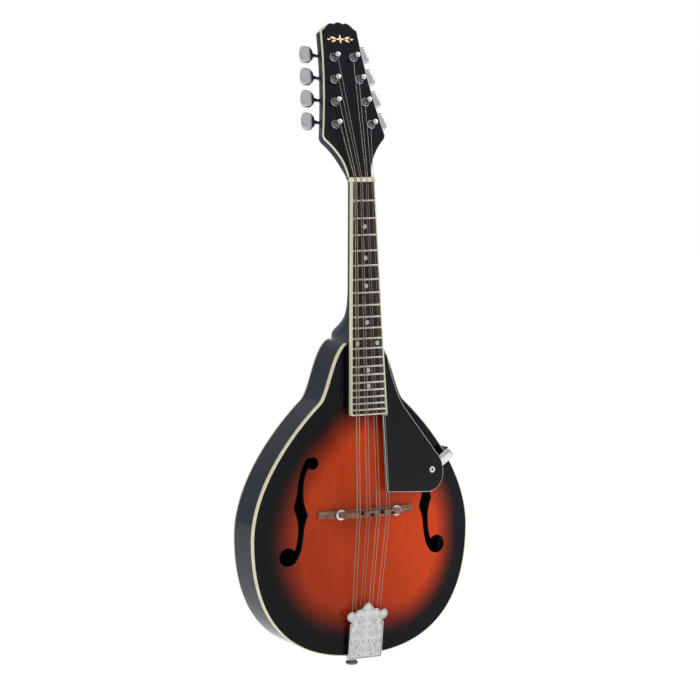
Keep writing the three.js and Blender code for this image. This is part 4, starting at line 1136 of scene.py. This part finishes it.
def build_strings():
    for index in range(8):
        radius = string_radius(index)
        side, number = post_of(index)
        x, z = post_place(side, number)
        inner = -1 if side == "treble" else 1
        wrap = WAIST + radius
        level = -5.6  # of the lowest turn, from the head's face
        hook = Vector((string_x(index, HOOK_SPREAD), HOOK_TIP + 0.9, HOOK_Z))
        saddle = Vector((string_x(index, SADDLE_SPREAD), SADDLE_TOP - radius - REST_GAP, SADDLE_Z))
        nut = NECK @ Vector((string_x(index, NUT_SPREAD), NUT_FRONT - radius - REST_GAP, 0.2))
        over = NECK @ Vector((string_x(index, NUT_SPREAD), NUT_FRONT - radius - REST_GAP + 0.25, 3.4))
        end = HEAD @ Vector((x + inner * wrap, level, z))
        path = rounded_path([hook, saddle, nut, over, end], 2.2, 5)
        material = WOUND if index < 4 else STEEL
        name = f"string_{COURSES[index // 2]}{index % 2 + 1}"
        loop_turn = np.linspace(0, 1, 25)[:-1] * TURN
        loop = [(hook.x + 1.5 * math.sin(a), hook.y, HOOK_Z - 2.2 - 2.2 * math.cos(a)) for a in loop_turn]
        twist = [(hook.x + 0.32 * math.cos(9 * t * TURN), hook.y + 0.32 * math.sin(9 * t * TURN),
                  HOOK_Z + 0.2 + 7 * t) for t in np.linspace(0, 1, 90)]
        ring = swept(loop + [loop[0]], circle(0.22, count=8), (0, 1, 0))
        add_piece(name + "_wire", rod(path, radius, 12), material, name,
                  more=[(ring, STEEL), (rod(twist, 0.2, 6, (0, 1, 0)), STEEL)])

        # Turns round the post, which ride on it and end inside it.
        turns = 2.6 if radius > 0.3 else 3.6
        start = math.pi if inner < 0 else 0.0
        coil = []
        for t in np.linspace(0, turns, int(turns * 28)):
            turn = start - inner * t * TURN
            coil.append((x + wrap * math.cos(turn), level + t * radius * 2.06, z + wrap * math.sin(turn)))
        last = np.array(coil[-1])
        coil.append(tuple(last + (np.array([x, last[1], z]) - last) * 0.6))
        wire = rod(coil, radius, 8, (0, 1, 0))
        add_piece(name + "_coil", moved(wire, HEAD), material, body=f"tuner_post_{side}_{number}")


# ---------------------------------------------------------------- tuners
POST = {"radius": 2.9, "top": -12.5}
GEAR = {"teeth": 14, "radius": 4.4, "pitch_radius": 4.0, "tooth": 0.85, "front": 16.2, "back": 20.0}
WORM = {"radius": 1.65, "half": 3.6, "shaft": 1.2}
WORM_OFFSET = GEAR["radius"] + WORM["radius"] + 0.25
WORM_DEPTH = (GEAR["front"] + GEAR["back"]) / 2


def row_frame(side):
    """Frame of a row of four tuners: its origin is at the first post and +Z runs along the row."""
    (x0, z0), (x3, z3) = post_place(side, 1), post_place(side, 4)
    lean = math.atan2(x3 - x0, z3 - z0)
    length = math.hypot(x3 - x0, z3 - z0)
    return HEAD @ shifted(x0, 0, z0) @ Matrix.Rotation(lean, 4, "Y"), length


def gear_outline():
    share = np.array([-0.30, -0.16, 0.16, 0.30])
    depth = np.array([1, 0, 0, 1]) * GEAR["tooth"]
    turn = (np.arange(GEAR["teeth"])[:, None] + share).ravel() / GEAR["teeth"] * TURN
    radius = GEAR["radius"] - np.tile(depth, GEAR["teeth"])
    return np.stack([radius * np.cos(turn), radius * np.sin(turn)], 1)


def slotted_head(radius, height):
    """A domed screw head along +Y with its foot at y 0, cut by a screwdriver slot."""
    half = 0.25
    turn = np.linspace(0, 90, 7) * DEG
    dome = [(radius * math.cos(a), 0.25 * height + 0.75 * height * math.sin(a)) for a in turn[:-1]]
    head = lathe([(0, 0), (radius, 0)] + dome + [(0, height)], 24)
    cutter = box_shape((-half, 0.45 * height, -2 * radius), (half, 2 * height, 2 * radius))
    return combined(head, [cutter], "DIFFERENCE")


def post_shape():
    """String post along +Y, from its domed top to the gear: a waist for the string and a cross hole."""
    r, top, foot = POST["radius"], POST["top"], GEAR["back"] + 0.2
    shaft = lathe([
        (0, top), (2.0, top), (2.5, top + 0.15), (2.8, top + 0.5), (r, top + 1.0), (r, -9.9), (2.7, -9.4),
        (WAIST, -8.8), (WAIST, -3.4), (2.7, -2.9), (r, -2.5), (r, foot), (0, foot),
    ])
    hole = lathe([(0, -5), (0.75, -5), (0.75, 5), (0, 5)], 16)
    return combined(shaft, [moved(hole, shifted(0, -7.9, 0) @ turned_to((1, 0, 0)))], "DIFFERENCE")


# Inset and depth of the rings round a button's edge.
BUTTON_EDGE = [(2.2, 3.45), (2.05, 3.42), (1.3, 2.9), (0.6, 2.2), (0.2, 1.4), (0.0, 0.6), (0.0, 0.0)]


def button_shape():
    """Cast tulip button, along +X: its outline tapers to the stalk, and bevels surround its flat faces."""
    half = chained(
        quadratic((15.2, 3.0), (15.4, 5.0), (16.4, 6.2), 6),
        np.array([(16.4, 6.2), (19.2, 9.0)]),
        quadratic((19.2, 9.0), (20.1, 9.9), (21.4, 9.9), 5),
        np.array([(21.4, 9.9), (26.2, 9.9)]),
        quadratic((26.2, 9.9), (28.0, 9.7), (29.0, 8.0), 6),
        quadratic((29.0, 8.0), (30.6, 4.6), (30.6, 0), 8),
    )
    outline = np.vstack([half, (half * (1, -1))[:-1][::-1]])
    rings = [at_depth(inset(outline, shrink), -depth) for shrink, depth in BUTTON_EDGE]
    return loft(rings + [ring * (1, -1, 1) for ring in rings[:-1][::-1]])


def key_shape():
    """Along +X from the worm's inner end: worm, collar outside the strip's lugs, stalk and button."""
    r, half = WORM["shaft"], WORM["half"]
    shaft = lathe([
        (0, -6.6), (1.1, -6.6), (r, -6.2), (r, 7.0), (2.1, 7.2), (2.7, 7.6), (2.7, 8.8), (2.1, 9.4),
        (2.1, 10.6), (2.3, 12.4), (2.8, 14.2), (3.3, 16.0), (3.2, 18.0), (0, 18.8),
    ], 24)
    tooth_pitch = TURN * GEAR["pitch_radius"] / GEAR["teeth"]
    worm = spiral_screw(-half, half, r, WORM["radius"] + 0.15, tooth_pitch)
    along = turned_to((1, 0, 0))
    return together(moved(shaft, along), moved(worm, along), button_shape())


STRIP = {"low": -9.0, "past": 16.0, "half": 6.8, "corner": 3.0, "thick": 1.2, "lug_x": 5.2, "lug_half": 2.5}
LUG_EDGE = [(-0.9, 0.25), (-0.65, 0), (0.65, 0), (0.9, 0.25)]  # place through the lug's thickness, and inset


def plate_shape(length):
    """Mounting strip with rounded ends and a pair of lugs round every worm."""
    low, high, half, radius = STRIP["low"], length + STRIP["past"], STRIP["half"], STRIP["corner"]
    outline = []
    for cx, cz, start in ((half, high, 0), (-half, high, 90), (-half, low, 180), (half, low, 270)):
        centre = (cx - math.copysign(radius, cx), cz - (radius if cz == high else -radius))
        turn = np.linspace(start, start + 90, 7) * DEG
        outline.append(centre + radius * np.stack([np.cos(turn), np.sin(turn)], 1))
    front = HEAD_THICK + 0.1
    shapes = [slab(np.vstack(outline), front, front + STRIP["thick"], 0.1, 0.35)]
    arc = np.linspace(0, 180, 13) * DEG
    wide, foot = STRIP["lug_half"], front + 0.6
    for number in range(4):
        worm = length * number / 3 + WORM_OFFSET
        crest = np.stack([worm - wide * np.cos(arc), WORM_DEPTH + 0.2 + 2.4 * np.sin(arc)], 1)
        lug = np.vstack([[(worm - wide, foot)], crest, [(worm + wide, foot)]])
        for x in (-STRIP["lug_x"], STRIP["lug_x"]):
            shapes.append(loft([[(x + dx, y, z) for z, y in inset(lug, cut)] for dx, cut in LUG_EDGE]))
    return together(*shapes)


def bushing_shape():
    """Ring pressed into the head's face, dished in the middle round the post."""
    return lathe([(3.2, 0.5), (4.9, 0.5), (4.95, -0.5), (4.8, -1.5), (4.55, -2.1), (4.25, -2.3),
                  (3.95, -2.15), (3.2, -0.4)], 40)


def build_tuners():
    post, key = post_shape(), key_shape()
    gear = slab(gear_outline(), GEAR["front"], GEAR["back"], 0.25, 0.35, 2)
    gear_screw = moved(slotted_head(2.3, 0.75), shifted(0, GEAR["back"] + 0.05, 0))
    bushing, plate_screw = bushing_shape(), slotted_head(1.9, 1.0)
    bushings, screws = [], []
    for side in ("bass", "treble"):
        row, length = row_frame(side)
        add_piece(f"tuner_strip_{side}", moved(plate_shape(length), row), NICKEL, f"tuner_plate_{side}")
        face = HEAD_THICK + 1.3
        for z in (-6.6, length / 6 + 4, length / 2 + 4, length * 5 / 6 + 4, length + 13.6):
            at_end = z < 0 or z > length + 8
            screws.append(moved(plate_screw, row @ shifted(0 if at_end else -4.6, face, z)))
        for number in range(1, 5):
            joint = joints[f"key_{side}_{number}_turn"]
            x, z = post_place(side, number)
            at_post = HEAD @ shifted(x, 0, z) @ Matrix.Rotation(0.3 * number, 4, "Y")
            add_piece(f"post_{side}_{number}", moved(post, at_post), CHROME, f"tuner_post_{side}_{number}",
                      body=f"tuner_post_{side}_{number}",
                      more=[(moved(gear, at_post), BRASS), (moved(gear_screw, at_post), NICKEL)])
            bushings.append(moved(bushing, HEAD @ shifted(x, 0, z)))
            flip = Matrix.Rotation(math.pi, 4, "Y") if side == "bass" else Matrix.Identity(4)
            at_key = row @ shifted(0, WORM_DEPTH, length * (number - 1) / 3 + WORM_OFFSET) @ flip
            assert (at_key.translation - Vector(joint["pos_m"]) / MM).length < 0.05
            add_piece(f"key_{side}_{number}", moved(key, at_key), KEY_CHROME, f"tuner_key_{side}_{number}",
                      body=f"tuner_key_{side}_{number}")
    add_piece("bushings", together(*bushings), KEY_CHROME)
    add_piece("tuner_strip_screws", together(*screws), NICKEL)


# ---------------------------------------------------------------- bridge
STUD_X = (node_box("bridge_stud_treble")[0].x + node_box("bridge_stud_treble")[1].x) / 2
BRIDGE_FRONT = -36.0  # face that the thumbwheels stand over


def base_shape():
    """Floating base: two fitted feet, a raised middle and thin ends."""
    half_length = node_box("bridge_base")[1].x
    half_depth = 4.3
    rings = []
    for x in np.linspace(-half_length, half_length, 121):
        a = abs(x)
        back = float(top_front(x, SADDLE_Z)) - 0.05 - 1.7 * float(smoothstep(a, 18, 14) if a > 14 else 1)
        thin = back - 3.2
        front = BRIDGE_FRONT + (thin - BRIDGE_FRONT) * float(smoothstep(a, 40.5, 46.5))
        end = math.sqrt(max(0.0, 1 - max(0, (a - half_length + 2) / 2) ** 2))
        deep = half_depth * (0.55 + 0.45 * end) * (1 - 0.10 * float(smoothstep(a, 42, 50)))
        front = back + (front - back) * (0.6 + 0.4 * end)
        soft = 0.7
        edge = [(back, deep), (front + soft, deep)]
        edge += [(front + 0.2 * soft, deep - 0.25 * soft), (front, deep - soft)]
        rings.append([(x, y, SADDLE_Z - z) for y, z in edge] + [(x, y, SADDLE_Z + z) for y, z in edge[::-1]])
    return loft(rings)


NECK_NOTCHES, TAIL_NOTCHES = (-13.0, 11.0), (-1.0, 24.0)  # where the saddle's bearing top is cut away
NOTCH = {"wide": 3.4, "deep": 4.6}


def notch(x, places):
    """1 in a notch of the saddle's top, 0 outside."""
    return max(float(smoothstep(abs(x - at), 3.1, 2.4)) for at in places)


def saddle_shape():
    """Saddle whose top is cut in between the courses, from the neck side and the tail side by turns."""
    half = saddle_high.x
    back, top = saddle_high.y, saddle_low.y
    rings = []
    for x in np.linspace(-half, half, 241):
        a = abs(x)
        crown = top + 3.4 * float(smoothstep(a, 23.5, half - 2)) + 1.2 * float(smoothstep(a, half - 2, half))
        neck_cut, tail_cut = notch(x, NECK_NOTCHES), notch(x, TAIL_NOTCHES)
        crest = 2.9 - 0.5 * float(smoothstep(a, half - 1.5, half))
        up, down = crest - NOTCH["wide"] * neck_cut, -crest + NOTCH["wide"] * tail_cut
        sides = []
        for cut, edge, way in ((tail_cut, down, -1), (neck_cut, up, 1)):
            sides.append([(back, way * 3.3), (crown + NOTCH["deep"], way * 3.1),
                          (crown + 0.5 + (NOTCH["deep"] - 0.9) * cut, edge + way * 0.1 * (1 - cut)),
                          (crown + 0.1, edge - way * 0.35)])
        line = sides[0] + [(crown - 0.02, (up + down) / 2)] + sides[1][::-1]
        rings.append([(x, y, SADDLE_Z + z) for y, z in line])
    return loft(rings)


def painted_notch_shade_of(x, y, _):
    """How dark a point of the saddle is painted: its notches, below the bearing top, get painted shade."""
    below = float(smoothstep(y - saddle_low.y, 0.4, 1.2))
    return below * notch(x, NECK_NOTCHES + TAIL_NOTCHES)


def build_bridge():
    add_piece("bridge_foot", base_shape(), BRIDGE_WOOD, "bridge_base")
    saddle = add_piece("saddle_wood", saddle_shape(), BRIDGE_WOOD, "bridge_saddle", body="saddle")
    # Painted shade in the saddle's notches.
    add_attribute(saddle, "grime", [painted_notch_shade_of(*(v.co / MM)) for v in saddle.data.vertices])
    ridges = 40
    turn = np.arange(ridges * 2) / (ridges * 2) * TURN
    radius = 5.8 - 0.22 * (np.arange(ridges * 2) % 2)
    rim = np.stack([radius * np.cos(turn), radius * np.sin(turn)], 1)
    for name, side in (("bass", -1), ("treble", 1)):
        wheel_low, wheel_high = node_box(f"thumbwheel_{name}")
        place = shifted(side * STUD_X, 0, SADDLE_Z)
        wheel = moved(slab(rim, wheel_low.y, wheel_high.y, 0.3, 0.3, 2), place)
        add_piece(f"height_wheel_{name}", wheel, CHROME, f"thumbwheel_{name}", body=f"thumbwheel_{name}")
        stud_low, stud_high = node_box(f"bridge_stud_{name}")
        stud = moved(spiral_screw(stud_low.y, stud_high.y, 1.35, 1.7, 0.7, 20), place)
        add_piece(f"height_stud_{name}", stud, NICKEL, f"bridge_stud_{name}")


# ---------------------------------------------------------------- tailpiece
COVER_TILT = 7.5 * DEG
COVER = {"half": 20.3, "shoulder": 39.5, "sheet": 1.0, "flange": 5.0, "y": -29.7, "z": 11.8}
COVER_FRAME = shifted(0, COVER["y"], COVER["z"]) @ Matrix.Rotation(COVER_TILT, 4, "X")


def cover_half():
    """Treble half of the cover's front: a plain lower part and a scalloped crest."""
    half, shoulder = COVER["half"], COVER["shoulder"]
    return chained(
        np.array([(half, 0), (half, shoulder)]),
        quadratic((half, shoulder), (half - 0.4, shoulder + 0.9), (half - 2.0, shoulder + 1.2), 5),
        bezier([(half - 2.0, shoulder + 1.2), (19.4, 43.2), (24.4, 43.6), (24.4, 48.2)], 11)[0],
        bezier([(24.4, 48.2), (24.4, 51.6), (22, 53.6), (19.6, 53.5)], 9)[0],
        quadratic((19.6, 53.5), (17, 53.4), (15.2, 51.6), 6),
        quadratic((15.2, 51.6), (12.4, 56.4), (8, 55), 9),
        bezier([(8, 55), (5.6, 56.8), (3.6, 62.3), (0, 62.3)], 10)[0],
    )


def scroll(x, z, radius, start, turns, side):
    """A spiral that winds inwards, as x, z pairs."""
    t = np.linspace(0, 1, int(30 * abs(turns)) + 8)
    r = radius * (1 - 0.86 * t)
    a = start * DEG + turns * TURN * t
    return np.stack([side * (x + r * np.cos(a)), z + r * np.sin(a)], 1)


SCROLLS = [  # x, z, radius, start in degrees and turns of the treble half's scrolls
    (6.2, 45.0, 4.4, 200, 1.5), (14.6, 46.5, 3.6, 20, -1.4), (9.8, 36.2, 4.6, 100, 1.6),
    (15.2, 27.6, 3.4, 240, -1.5), (6.0, 27.4, 4.2, 330, 1.5), (10.6, 18.2, 4.2, 70, -1.6),
    (5.0, 11.0, 3.4, 180, 1.4), (15.0, 9.6, 3.6, 300, -1.5), (3.0, 54.0, 2.2, 270, 1.2),
]
BLADES = [  # x, z and turn of the treble half's leaves
    (10.5, 41.0, 60), (3.4, 35.0, 100), (11.4, 30.8, 30), (3.2, 19.4, 80),
    (11.2, 13.2, 140), (17.0, 38.0, 95), (17.2, 18.6, 85), (7.6, 4.4, 20),
]


def engraving():
    """Raised scrollwork and a bead just inside the cover's edge."""
    lines = [scroll(*row, side) for row in SCROLLS for side in (-1, 1)]
    shapes = [swept(at_depth(line, 0.04), circle(0.26, count=6), (0, 1, 0)) for line in lines]
    for side in (-1, 1):
        for x, z, turn in BLADES:
            blade = leaf(4.2, 1.5, side * x, z, turn if side > 0 else 180 - turn)
            shapes.append(slab(blade, -0.2, 0.3, 0.2, 0.05, 2))
    bead = inset(both_sides(cover_half()), 1.3)
    shapes.append(swept(at_depth(np.vstack([bead, bead[:1]]), -0.02), circle(0.42, count=8), (0, 1, 0)))
    return together(*shapes)


def cover_shape():
    half, sheet, flange = COVER["half"], COVER["sheet"], COVER["flange"]
    front = slab(both_sides(cover_half()), 0, sheet, 0.42, 0.3, 3)
    walls = []
    for side in (-1, 1):
        low, high = sorted((side * half, side * (half - sheet)))
        edge = np.array([(low, 0.1), (high, 0.1), (high, COVER["shoulder"]), (low, COVER["shoulder"])])
        walls.append(slab(edge, 0.45, flange, 0.02, 0.3, 2))
    foot = np.array([(-half, 0), (half, 0), (half, sheet), (-half, sheet)])
    lip = slab(foot, 0.4, flange - 0.2, 0.02, 0.3, 2)
    return combined(front, walls + [lip], "UNION")


def tail_base_shape():
    """Sheet-metal base: a plate on the soundboard that folds down over the tail."""
    high = node_box("tailpiece_base")[1]
    fold = (0, RIM_FRONT - 0.9, TAIL - 0.7)
    path = rounded_path([(0, -28.8, high.z - 0.1), fold, (0, high.y, TAIL - 0.75)], 1.6, 8)
    section = np.array([(-1, -0.6), (1, -0.6), (1, 0.6), (-1, 0.6)], float)
    dense = np.vstack([np.linspace(a, b, 6, endpoint=False) for a, b in zip(path, path[1:])] + [path[-1:]])
    widths = [(18 - 5 * float(smoothstep(y, -24.6, -21.5)), 1) for y in dense[:, 1]]
    base = swept(dense, section, (1, 0, 0), widths)
    hooks = []
    for index in range(8):
        x = string_x(index, HOOK_SPREAD)
        foot, corner = (x, -27.6, HOOK_Z - 1.7), (x, HOOK_TIP + 0.4, HOOK_Z - 1.7)
        hooks.append(rod(rounded_path([foot, corner, (x, HOOK_TIP + 0.2, HOOK_Z - 5.0)], 1.2), 0.62, 8))
    return together(base, *hooks)


def build_tailpiece():
    add_piece("tail_base", tail_base_shape(), NICKEL, "tailpiece_base")
    cover = moved(cover_shape(), COVER_FRAME)
    add_piece("tail_cover", cover, PRESSED, "tailpiece_cover", body="tailpiece_cover")
    add_piece("tail_cover_scrolls", moved(engraving(), COVER_FRAME), TARNISHED, body="tailpiece_cover")
    down = turned_to((0, 0, -1))
    for number in (1, 2):
        low, high = node_box(f"tailpiece_screw_{number}")
        centre = (low + high) / 2
        screw = together(slotted_head(2.5, 1.8), lathe([(0, -1.3), (1.1, -1.1), (1.2, 0.2), (0, 0.2)], 16))
        place = shifted(centre.x, centre.y, low.z + 1.8) @ down
        add_piece(f"tail_screw_{number}", moved(screw, place), NICKEL, f"tailpiece_screw_{number}")
    profile = [
        (0, 0), (5.4, 0), (6.0, 0.15), (6.6, 0.7), (7, 1.5), (6.95, 2.3), (6.5, 3.2), (5.2, 4.2), (4.0, 5.2),
        (3.45, 6.2), (3.4, 8.2), (3.9, 9.8), (5.0, 11.3), (5.6, 12.2), (5.6, 13.3), (2.8, 13.3), (2.8, 34),
        (0, 36),
    ]
    add_piece("strap_knob", moved(lathe(profile, 48), turned_to((0, 0, 1))), KNOB_METAL, "strap_button")


# ---------------------------------------------------------------- pickguard
GUARD = {"front": 1.5, "back": 3.6}
eyelet_low, eyelet_high = node_box("pickguard_screw")
EYELET_X = (eyelet_low.x + eyelet_high.x) / 2
EYELET_Z = 212.0
BRACKET_WAY = np.array([0.835, 0.55]) / math.hypot(0.835, 0.55)


def guard_outline():
    """Raised guard, in the neck's frame: it fits the fretboard's side and end."""
    gap, end = 0.3, BOARD_END + 0.3
    return np.vstack([
        [(board_half(178) + gap, -178), (board_half(end) + gap, -end)],
        [(17.2, -end), (20, -329.4), (68.5, -332.6)],
        bezier([(68.5, -332.6), (81, -333.2), (90.2, -324), (90.2, -311.5)], 14)[0][1:],
        quadratic((90.2, -311.5), (90.2, -301), (85.6, -294.6), 8)[1:],
        [(45, -240.5)],
        bezier([(45, -240.5), (36, -228), (29, -206), (24.8, -184)], 16)[0][1:],
    ])


def build_guard():
    """The guard's plate: black, with a thin white ply along its bevelled edge."""
    front, back = GUARD["front"], GUARD["back"]
    bevel = [(1.15, front), (0.95, front + 0.10), (0.50, front + 0.50), (0.05, front + 1.1), (0.0, back)]
    rings = [at_depth(inset(guard_outline(), cut), y) for cut, y in bevel]
    guard = add_piece("guard", moved(loft(rings), NECK), BLACK_PLASTIC, "pickguard", sharp=25)
    guard.data.materials.append(WHITE_PLY)
    n = len(rings[0])
    for face in guard.data.polygons[n:2 * n]:  # the band between the second and third rings
        face.material_index = 1


def build_bracket():
    """Strip of spring steel under the guard, bent round the rim, with its screw and the guard's eyelet."""
    high = node_box("pickguard_bracket")[1]
    face = NUT_Y - (NUT_Z - EYELET_Z) * math.tan(NECK_TILT) + GUARD["back"] + 1.8
    way = np.array([BRACKET_WAY[0], 0, BRACKET_WAY[1]])
    start = np.array([EYELET_X, face, EYELET_Z])
    across = np.array([-BRACKET_WAY[1], 0, BRACKET_WAY[0]])
    half, thick = 6.0, 0.6
    reach = (high.x - EYELET_X - half * abs(across[0])) / BRACKET_WAY[0] - thick
    corner = start + way * reach
    foot = corner + np.array([0, high.y - face, 0])
    path = rounded_path([start - way * half, corner, foot], 2.6, 10)
    edge = np.array([(-half, -0.45), (-half + 0.25, -thick), (half - 0.25, -thick), (half, -0.45)])
    section = np.vstack([edge, -edge])
    add_piece("guard_bracket", swept(path, section, across), CHROME, "pickguard_bracket")

    profile = [(1.25, -0.2), (1.6, -0.75), (2.2, -1.0), (2.9, -0.85), (3.35, -0.3), (3.4, 0.0), (1.25, 0.0)]
    pin = lathe([(0, 0.1), (1.24, 0.1), (1.24, 5.2), (0, 5.4)], 20)
    guard_z = -(NUT_Z - EYELET_Z) / math.cos(NECK_TILT)
    place = NECK @ shifted(EYELET_X, GUARD["front"] - 0.02, guard_z)
    add_piece("guard_eyelet", moved(lathe(profile, 32), place), WHITE_PLY, "pickguard_screw",
              more=[(moved(pin, place), BLACK_PLASTIC)])
    at_screw = corner + way * 0.7 + np.array([0, -11 - face, 0])
    head = slotted_head(2.4, 1.4)
    add_piece("bracket_fixing", moved(head, shifted(*at_screw) @ turned_to(way)), NICKEL, "bracket_screw")


# ---------------------------------------------------------------- studio
CAMERA = {"azimuth": -28.62 * DEG, "elevation": 5.17 * DEG, "distance": 2.48619}  # fitted to the photo
CAMERA |= {"lens": 120.77, "shift": -0.01758}
TARGET = Vector((0, -0.024, 0.34247))


def add_camera():
    data = bpy.data.cameras.new("camera")
    data.lens, data.sensor_width, data.shift_x = CAMERA["lens"], 36, CAMERA["shift"]
    data.clip_end = 50
    camera = new_object("camera", data)
    azimuth, elevation = CAMERA["azimuth"], CAMERA["elevation"]
    level = math.cos(elevation)
    back = Vector((math.sin(azimuth) * level, -math.cos(azimuth) * level, math.sin(elevation)))
    camera.location = TARGET + back * CAMERA["distance"]
    camera.rotation_mode = "QUATERNION"
    camera.rotation_quaternion = (-back).to_track_quat("-Z", "Y")
    bpy.context.scene.camera = camera


def add_light(name, place, size, power):
    data = bpy.data.lights.new(name, "AREA")
    data.size, data.energy = size, power
    light = new_object(name, data)
    light.location = place
    light.rotation_euler = (TARGET - Vector(place)).to_track_quat("-Z", "Y").to_euler()


def add_floor():
    size = 8.0
    mesh = bpy.data.meshes.new("floor")
    corners = [(-size, -size, 0), (size, -size, 0), (size, size, 0), (-size, size, 0)]
    mesh.from_pydata(corners, [], [(0, 1, 2, 3)])
    floor = new_object("floor", mesh)
    floor.location.z = -0.055  # clear of the tailpiece cover when it is slid off past the tail
    f = Finish("floor")
    f.set(Base_Color=f.ramp(f.noise(scale=0.002), [(0.3, 0.88), (0.7, 0.90)]), Roughness=1.0)
    f.set(Specular_IOR_Level=0.0, Emission_Color=(1.0, 1.0, 1.0), Emission_Strength=0.30)
    mesh.materials.append(f.material)


def add_world():
    """White to the camera; as a light, a pale room that is a little darker and bluer low down."""
    world = bpy.data.worlds.new("studio")
    bpy.context.scene.world = world
    world.use_nodes = True
    sky = Nodes(world.node_tree)
    sky.tree.nodes.clear()
    height = sky.node("SeparateXYZ", {0: sky.node("TexCoord").outputs["Generated"]}).outputs["Z"]
    rise = sky.node("MapRange", {"Value": height, "From Min": -1}).outputs["Result"]
    room = sky.ramp(rise, [(0.45, (0.62, 0.65, 0.70)), (0.90, (0.86, 0.87, 0.88))])
    lit = sky.node("Background", {"Color": room}).outputs[0]
    seen = sky.node("Background", {"Color": (1.0, 1.0, 1.0)}).outputs[0]
    camera_ray = sky.node("LightPath").outputs["Is Camera Ray"]
    mix = sky.node("MixShader", {0: camera_ray, 1: lit, 2: seen}).outputs[0]
    sky.node("OutputWorld", {"Surface": mix})


build_body()
build_neck()
build_fretboard()
build_strings()
build_tuners()
build_bridge()
build_tailpiece()
build_guard()
build_bracket()

add_floor()
add_world()
add_light("key", (2.6, -1.4, 2.4), 1.6, 40)
add_light("back", (1.6, 2.6, 2.0), 1.6, 14)
add_camera()
bpy.context.scene.view_settings.view_transform = "Standard"
